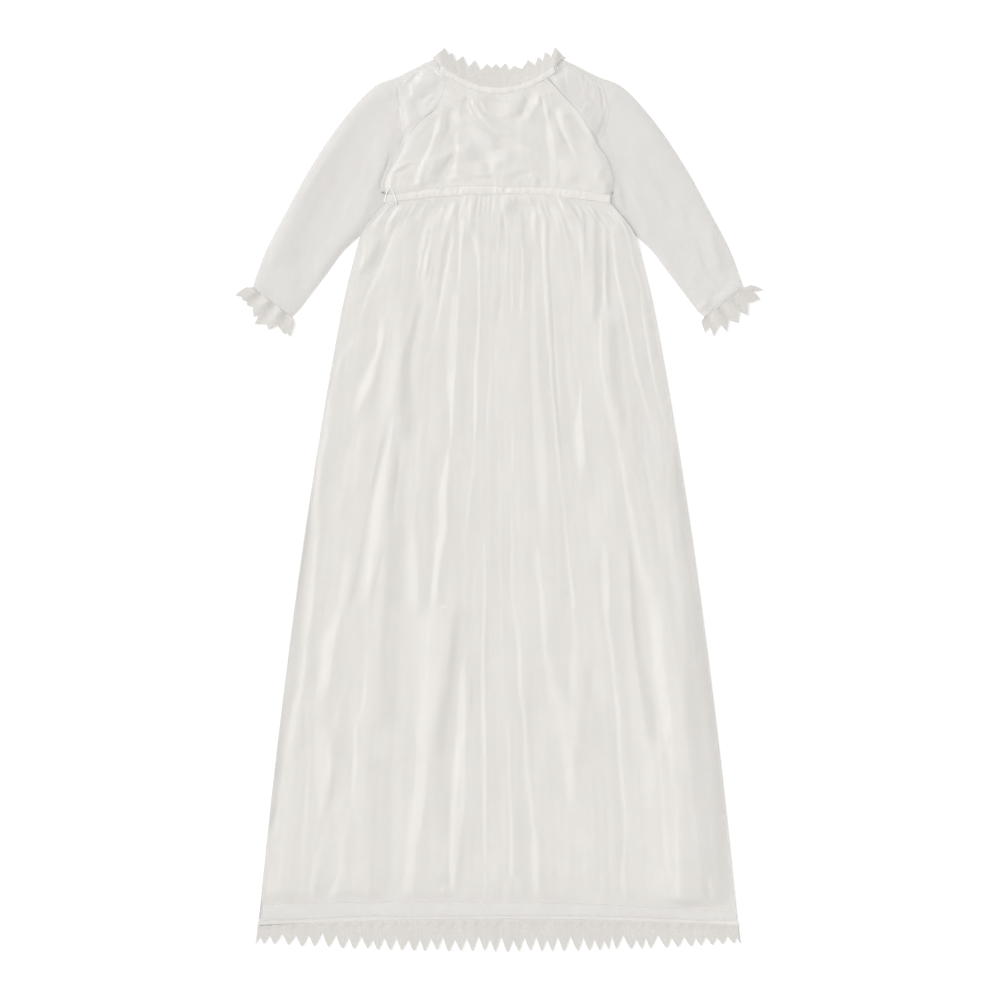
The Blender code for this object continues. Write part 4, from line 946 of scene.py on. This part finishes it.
def make_skirt():
    places = skirt_places(*SKIRT_GRID)
    from_left = along(places)
    from_right = from_left[:, -1:] - from_left
    edge = np.minimum(from_left, from_right)
    s = np.linspace(0, SKIRT_ACROSS, places.shape[1])[None] + 0 * edge
    y = places[..., 1]
    down = y[0][None] - y
    hem_rise = y - y[-1][None]
    slope = STEEP * lean_at(places, SKIRT_STREAKS)
    slope += 0.05 * mottle(s / 2.6, y / 75, 21) + 0.045 * mottle(s / 6.5, y / 120, 22)
    slope += 0.7 * mottle(s / 4.0, down / 18, 23) * np.exp(-down / 17)
    low_down = ease((150 - y) / 350)
    rise = risen(slope, places)
    rise = rise - rise[:, -1:] * ease(1 - from_right / 90) - rise[:, :1] * ease(1 - from_left / 60)
    hold = mix(0.12, 1.0, ease(down / 14)) * mix(0.15, 1.0, ease(hem_rise / 16))
    folds = settled(rise) * hold - 0.3 * np.exp(-((down / TUCK) ** 2))
    away_from_band = ease((down - 20) / 50)
    roll_left = mix(1.0, rolled(from_left, 60, 1.3), away_from_band)
    roll_right = rolled(from_right, mix(60, 34, low_down), mix(1.3, 1.1, low_down))
    roll_right = mix(1.0, roll_right, away_from_band)
    level = mix(HEM_LEVEL, DRESS_FRONT + LIFT, ease((hem_rise - 2) / 50))
    curled = 0.8 * np.exp(-((from_left / 2.4) ** 2)) * ease((20 - y) / 40) * ease((y + 370) / 40)
    rolled_hem = (0.9 + 0.3 * mottle(s / 26, s * 0, 26)) * np.exp(-((hem_rise / 2.8) ** 2))
    under = slip_back_level(edge, hem_rise)
    level = mix(RIGHT_LEVEL, mix(LEFT_LEVEL, level, roll_left), roll_right)
    dress_height = np.maximum(level + folds + curled - rolled_hem, under + 2 * SATIN + 0.12)

    # the slip follows the dress down to to_hem = 0, and lies down on its own back below that
    to_hem = hem_rise - mix(*SLIP_ABOVE_HEM, s / SKIRT_ACROSS)
    slip_height = mix(under + SATIN + 0.04, dress_height - SATIN - 0.35, ease(to_hem / 12 + 0.03))
    slip_height += 0.05 * (1 + mottle(s / 6, s * 0, 25)) * ease(1 - to_hem / 9) * ease(edge / 9)
    lowest = np.minimum(under + SATIN + 0.02, dress_height - SATIN - 0.06)
    slip_height = np.maximum(np.minimum(slip_height, dress_height - SATIN - 0.3), lowest)
    laid_down = ease((1.5 - to_hem) / 3) * ease(to_hem + 8)
    slip_height = mix(slip_height, np.minimum(slip_height, SLIP_EDGE), laid_down)
    slip_shape = trimmed(np.dstack([places, slip_height]), from_left, 0.8)
    rows_off = np.linspace(*SLIP_ROWS_OFF, places.shape[1]) + 0.25 * mottle(s / 30, s * 0, 24)[0]
    slip_shape = cut_short(slip_shape, rows_off)

    back = skirt_places(*SKIRT_BACK_GRID)
    level = slip_back_level(from_sides(back), back[..., 1] - back[-1, :, 1][None])
    rows_off = np.linspace(*SLIP_BACK_ROWS_OFF, back.shape[1])[1:-1]
    inner = cut_short(np.dstack([back, level])[:, 1:-1], rows_off)
    flat = np.full(back.shape[:2], DRESS_BACK)
    behind = organza_panel("skirt_back", back, flat, organza_painted_shadow)
    slip_back = satin_panel("slip_skirt_back", inner[..., :2], inner[..., 2])
    slip = satin_panel("slip_skirt_front", slip_shape[..., :2], slip_shape[..., 2])
    dress = organza_panel("skirt_front", places, dress_height, organza)

    # the hem turned up on the outside, from its upper edge to the fold
    deep = HEM_FOLD_DEPTH * (1 + 0.35 * mottle(s[-1] / 45, s[-1] * 0, 27))
    shares = (1.0, 0.66, 0.33, 0.0)
    strip = [places[-1] + np.column_stack([0 * deep, deep * a]) for a in shares]
    over = [mix(dress_height[-1], dress_height[-2], deep * a / 2.8) + ORGANZA + 0.03 for a in shares]
    hem_fold = panel("hem_fold", np.array(strip), np.array(over), HEM_TURNING, seam_organza, [])
    seam = np.column_stack([strip[0] - (0, 0.7), over[0] + 0.15])
    row = stitches("hem_stitches", seam, pitch=3.2, length=1.7)
    for side, word in ((-1, "left"), (1, "right")):
        high = SIDE_SEAM_HEIGHT[side]
        seam = smooth_path(SKIRT_SIDE, 120)[4:-1] * (side, 1) - (side * 0.5, 0)
        seam = np.column_stack([seam, np.full(len(seam), 0.3 + high / 2)])
        cord_along("side_seam_" + word, seam, SIDE_SEAM_WIDTH, high, seam_organza, "sheer")


def make_shoulder(side, word):
    seam = smooth_path(RAGLAN[side], 10)
    at_seam = smooth_path(seam[:7], SHOULDER_STEPS) - (side * TUCK, 0)
    outer = smooth_path([*SHOULDER_EDGE[side], tuple(at_seam[-1])], SHOULDER_STEPS)
    neck = smooth_path([(side * 62.5, 454.0), (side * 60.0, 450.0), tuple(at_seam[0])], SHOULDER_STEPS)
    over = smooth_path([tuple(neck[0]), (side * 84.0, 450.5), tuple(outer[0])], SHOULDER_STEPS)
    places = cloth_between(neck, outer, over, at_seam)
    run, down = along(places), along(np.swapaxes(places, 0, 1)).T
    slope = SHOULDER_LEAN[side] * STEEP * lean_at(places, SHOULDER_STREAKS[side])
    slope += 0.07 * mottle(run / 5, places[..., 1] / 9, 31 + side)
    inward = run[:, -1:] - run
    from_edge = np.minimum(run, down[-1:] - down)
    lower_end = ease(down / down[-1:].max() * 4 - 3)
    at_seam_level = mix(SLIP_FRONT + LIFT - 0.25, SHOULDER_PIECE + 0.4, lower_end)
    raised = mix(at_seam_level, SHOULDER_PIECE, ease(inward / 30) * ease((down - 4) / 30))
    raised = mix(SLIP_EDGE, raised, ease(from_edge / 15 + 0.03))
    raised = mix(at_seam_level, raised, ease(np.minimum(inward, down) / 6))
    height = raised + settled(risen(slope, places), 0.8, 0.9) * ease(from_edge / 5) * ease(inward / 9)
    # the shoulder piece takes the satin with painted shade, a little greyer than the slip
    piece = satin_panel("slip_shoulder_" + word, places, height, satin_painted_greyer)


def make_sleeve(side, word):
    rows, columns = SLEEVE_GRID
    seam = smooth_path(RAGLAN[side], SEAM_STEPS)
    lower_seam = seam[ARMHOLE_CORNER:]
    fold_edge = smooth_path(SLEEVE_FOLD, rows) * (side, 1)
    neck = [(side * x, y) for x, y in SLEEVE_NECK]
    head = smooth_path([tuple(fold_edge[0]), *neck, *map(tuple, seam[: ARMHOLE_CORNER + 1 : 2])], columns)
    under = smooth_path([*map(tuple, lower_seam[::2]), *((side * x, y) for x, y in UNDERARM)], rows)
    head[0], head[-1] = fold_edge[0], under[0]
    cuff = mix(fold_edge[-1], under[-1], np.linspace(0, 1, columns + 1)[:, None])
    places = cloth_between(head, cuff, fold_edge, under)
    run = along(places)
    down = np.linspace(0, 1, rows + 1)[:, None] * SLEEVE_LENGTH + 0 * run

    # the sleeve stays off the bodice
    out, y = side * places[..., 0], places[..., 1]
    clear = np.interp(y, seam[::-1, 1], side * seam[::-1, 0]) + 0.18 * np.minimum(down, run[:, -1:] - run)
    beside = (y > RAGLAN_SPAN[0]) & (y < RAGLAN_SPAN[1])
    places[..., 0] = side * np.where(beside, np.maximum(out, clear), out)

    run = along(places)
    from_fold, from_under = run, run[:, -1:] - run
    s = np.linspace(0, 1, columns + 1)[None] * SLEEVE_ACROSS + 0 * run
    armhole_end = along(lower_seam[None])[0, -1]
    below = (along(under[None])[0] - armhole_end)[:, None] + 0 * run
    by_body = 1 - ease((below - ON_THE_BODY) / 24)
    from_seam = np.minimum(down, from_under / np.maximum(by_body, 0.01))
    slope = 0.7 * STEEP * lean_at(places, SHOULDER_STREAKS[side])
    slope += SLEEVE_LEAN[side] * STEEP * lean_at(places, SLEEVE_STREAKS[side])
    slope += 0.07 * mottle(s / 7, down / 60, 41 + side) + 0.04 * mottle(s / 2.6, down / 80, 44 + side)
    slope += 0.25 * mottle(s / 4, down / 14, 47 + side) * np.exp(-from_seam / 12)
    slope += 0.22 * mottle(s / 4, down / 12, 50 + side) * np.exp(-(SLEEVE_LENGTH - down) / 9)
    hold = ease(from_seam / 18) * ease((SLEEVE_LENGTH + 1 - down) / 3)
    level = mix(SLEEVE_FRONT + 0.8, DRESS_FRONT, 1 - ease((below - ON_THE_BODY) / 50)) + ORGANZA + LIFT
    level += settled(risen(slope, places)) * hold
    sunk = 0.25 * np.exp(-((from_seam / 3.5) ** 2))
    sunk += 1.1 * np.exp(-((from_under / 5) ** 2)) * by_body * ease(below / 12)
    rounding = rolled(from_fold, 12, 2.2) * mix(rolled(from_under, 12, 2.2), 1.0, by_body)
    rounded = np.maximum(ease((down - 3) / 25), ease((15 - from_fold) / 7))
    front = mix(1.0, level - sunk, mix(1.0, rounding, rounded))
    front = mix(CUFF_SEAM_HEIGHT, front, ease((SLEEVE_LENGTH + 1 - down) / 5))
    name = "sleeve_" + word
    piece = tube(name + "_organza", places, front, ORGANZA, organza, [name], organza_painted_shadow)
    stitches("cuff_stitches_" + word, np.column_stack([places[-3], front[-3]]), pitch=3.0, length=1.6)


def make_waist_band():
    """The band is listed as satin, but it is drawn as folded organza, because it is as dull."""
    t = np.linspace(-1, 1, BAND_COLUMNS + 1)
    across = np.linspace(0, 1, 9)
    places = np.array([waist_line(t, mix(0.0, BAND_HEIGHT, a)) for a in across])
    crown = np.sin(np.pi * across[:, None])
    s = t[None] * WAIST_HALF + 200
    places[..., 1] += 0.45 * mottle(s / 7, across[:, None] * 1.6, 63)
    pucker = 0.4 * mottle(s / 3.0, across[:, None] * 2.0, 61) + 0.3 * mottle(s / 8, across[:, None], 62)
    front = SEAM_HEIGHT + 0.14 + (0.25 + pucker * ease(2.5 - 2.4 * np.abs(t[None]))) * crown**0.7
    band = tube("waist_band_satin", places, front, FOLDED_EDGE, seam_organza, ["waist_band"])
    for row, word in ((1, "upper"), (7, "lower")):
        stitches("waist_stitches_" + word, np.column_stack([places[row], front[row]]), pitch=3.0, length=1.6)
    loop = smooth_path(LOOP, 24)
    guide = cord_along("ribbon_guide_loop", loop, *LOOP_STRIP, satin, "satin")


def make_neck_binding():
    t = np.linspace(-1, 1, BINDING_COLUMNS + 1)
    across = np.linspace(0, 1, 7)
    places = np.array([mix(neck_line(t), neck_line_top(t), a) for a in across])
    crown = np.sin(np.pi * across[:, None])
    level = np.full(places.shape[:2], SEAM_HEIGHT + 0.25)
    front = level + 0.2 * crown + 0.25 * mottle(t[None] * 22, across[:, None], 71)
    name = "neck_binding"
    binding = tube(name + "_organza", places, front, FOLDED_EDGE, seam_organza, [name])
    stitches("neck_stitches", np.column_stack([places[1], front[1]]), pitch=2.6, length=1.4)


def frill(name, root, edge, front, replaced, puff=0.0):
    """Lace from its sewn root to its cut edge, as one ring. front is the height at the root and at the
    furthest edge. It puffs up just past its root."""
    share = np.linspace(0, 1, 10)[:, None]
    places = mix(root[None], edge[None], share[..., None])
    reach = np.hypot(*(edge - root).T)[None]
    height = mix(front[0], front[1], share * reach / reach.max())
    height = height + puff * np.sin(np.pi * np.minimum(share * 4, 1))
    height = height + 0.12 * np.sin(np.pi * share) * mottle(along(root[None]) / 4, share, 81)
    return tube(name, places, height, LACE, lace_cloth, replaced)


def between(points, per_span):
    """The points with per_span steps from each to the next."""
    points = np.array(points)
    k = np.linspace(0, len(points) - 1, (len(points) - 1) * per_span + 1)
    return np.column_stack([np.interp(k, np.arange(len(points)), points[:, i]) for i in (0, 1)])


def make_neck_lace():
    edge = between(NECK_EDGE, 8)
    size = np.abs(edge[:, 0])
    past = np.maximum(size - LACE_LEAVES_NECK, 0)
    on_neck = np.copysign(np.minimum(size, LACE_LEAVES_NECK) / 1.03, edge[:, 0])
    root = neck_line_top(on_neck / BINDING_TOP_HALF) - (0, TUCK)
    root += np.column_stack([np.copysign(past * 1.17, edge[:, 0]), past * 1.1])
    root_level = SEAM_HEIGHT + 0.1 - 2.6 * ease(past / 8)[None]
    lace = frill("neck_lace_frill", root, edge, (root_level, 1.6), ["neck_lace"], 0.3)


def make_hem_lace():
    tips = np.array([-HEM_TIPS_HALF, *HEM_TIPS, HEM_TIPS_HALF], float)
    notches = (tips[1:] + tips[:-1]) / 2
    stops = np.sort(np.concatenate([tips, notches]))
    steps = np.linspace(0, len(stops) - 1, (len(stops) - 1) * 4 + 1)
    u = np.interp(steps, np.arange(len(stops)), stops) / HEM_TIPS_HALF
    reach = 1 - np.abs((steps + 1) % 2 - 1) ** 1.2
    wide = np.interp(u * HEM_TIPS_HALF, notches[:-1], np.diff(notches))
    depth = wide * 0.033 + 0.06 * mottle(u * 40 + 50, u * 0, 91)
    edge_share = 1 - depth * (1 - reach) - 0.04 * mottle(u * 20 + 50, u * 0 + 3, 92)
    root = hem_line(u) + (0, TUCK)
    foot = np.column_stack([HEM_TIPS_HALF * u, HEM_TIPS_Y + HEM_TIPS_RISE * u * u])
    edge = mix(root, foot, np.minimum(edge_share, 1.0)[:, None])
    lace = frill("hem_lace_band", root, edge, (HEM_LEVEL - 1.0, 1.2), ["hem_lace"], 0.8)


def make_cuff_lace(side, word):
    ends = np.array([SLEEVE_FOLD[-1], UNDERARM[-1]]) * (side, 1)
    edge = between([tuple(ends[0]), *CUFF_EDGE[side], tuple(ends[1])], 6)
    cuff = ends[1] - ends[0]
    share = np.clip((edge - ends[0]) @ cuff / (cuff @ cuff), 0, 1)
    share = mix(np.maximum.accumulate(share), np.linspace(0, 1, len(edge)), 0.4)
    root = mix(ends[0], ends[1], share[:, None])
    name = "cuff_lace_" + word
    lace = frill(name + "_frill", root, edge, (2.4 + 1.0 * np.sin(share * 19)[None], 1.4), [name])


make_bodice()
make_skirt()
make_waist_band()
for side, word in ((-1, "left"), (1, "right")):
    make_shoulder(side, word)
    make_sleeve(side, word)
    make_cuff_lace(side, word)
make_neck_binding()
make_neck_lace()
make_hem_lace()

# ---------------------------------------------------------------- floor, light and camera

PAPER_GREY = 0.45
PAPER_GLOW = 0.6
STUDIO_LIGHT = 0.58
CAMERA_HEIGHT = 6.0
VIEW_WIDTH = 1.05
VIEW_MIDDLE = (0.0021, -0.0005)
SENSOR_WIDTH = 36.0  # mm

floor_mesh = bpy.data.meshes.new("floor")
bm = bmesh.new()
bmesh.ops.create_grid(bm, x_segments=1, y_segments=1, size=30)
bm.to_mesh(floor_mesh)
bm.free()
floor = bpy.data.objects.new("floor", floor_mesh)
floor.location.z = -0.0005
bpy.context.scene.collection.objects.link(floor)
paper = bpy.data.materials.new("white_paper")
paper.use_nodes = True
sheet_of_paper = paper.node_tree.nodes["Principled BSDF"].inputs
sheet_of_paper["Base Color"].default_value = (PAPER_GREY, PAPER_GREY, PAPER_GREY, 1)
sheet_of_paper["Roughness"].default_value = 1.0
sheet_of_paper["Specular IOR Level"].default_value = 0.0
sheet_of_paper["Emission Color"].default_value = (1, 1, 1, 1)
sheet_of_paper["Emission Strength"].default_value = PAPER_GLOW
floor_mesh.materials.append(paper)

world = bpy.data.worlds.new("studio")
bpy.context.scene.world = world
world.use_nodes = True
world.node_tree.nodes["Background"].inputs["Color"].default_value = (1, 1, 1, 1)
world.node_tree.nodes["Background"].inputs["Strength"].default_value = STUDIO_LIGHT

for name, energy, soft, towards in (
    ("window", 1.85, 25, (-0.91, 0.41, 0.84)),
    ("skylight", 0.5, 16, (-0.48, 0.2, 0.98)),
):
    lamp = bpy.data.lights.new(name, "SUN")
    lamp.energy = energy
    lamp.angle = math.radians(soft)
    light = bpy.data.objects.new(name, lamp)
    light.rotation_euler = Vector(towards).to_track_quat("Z", "Y").to_euler()
    bpy.context.scene.collection.objects.link(light)

eye = bpy.data.cameras.new("camera")
eye.sensor_width = SENSOR_WIDTH
eye.lens = SENSOR_WIDTH * CAMERA_HEIGHT / VIEW_WIDTH
eye.clip_end = 100.0
camera = bpy.data.objects.new("camera", eye)
camera.location = (*VIEW_MIDDLE, CAMERA_HEIGHT)
bpy.context.scene.collection.objects.link(camera)
bpy.context.scene.camera = camera

bpy.context.scene.view_settings.view_transform = "Standard"
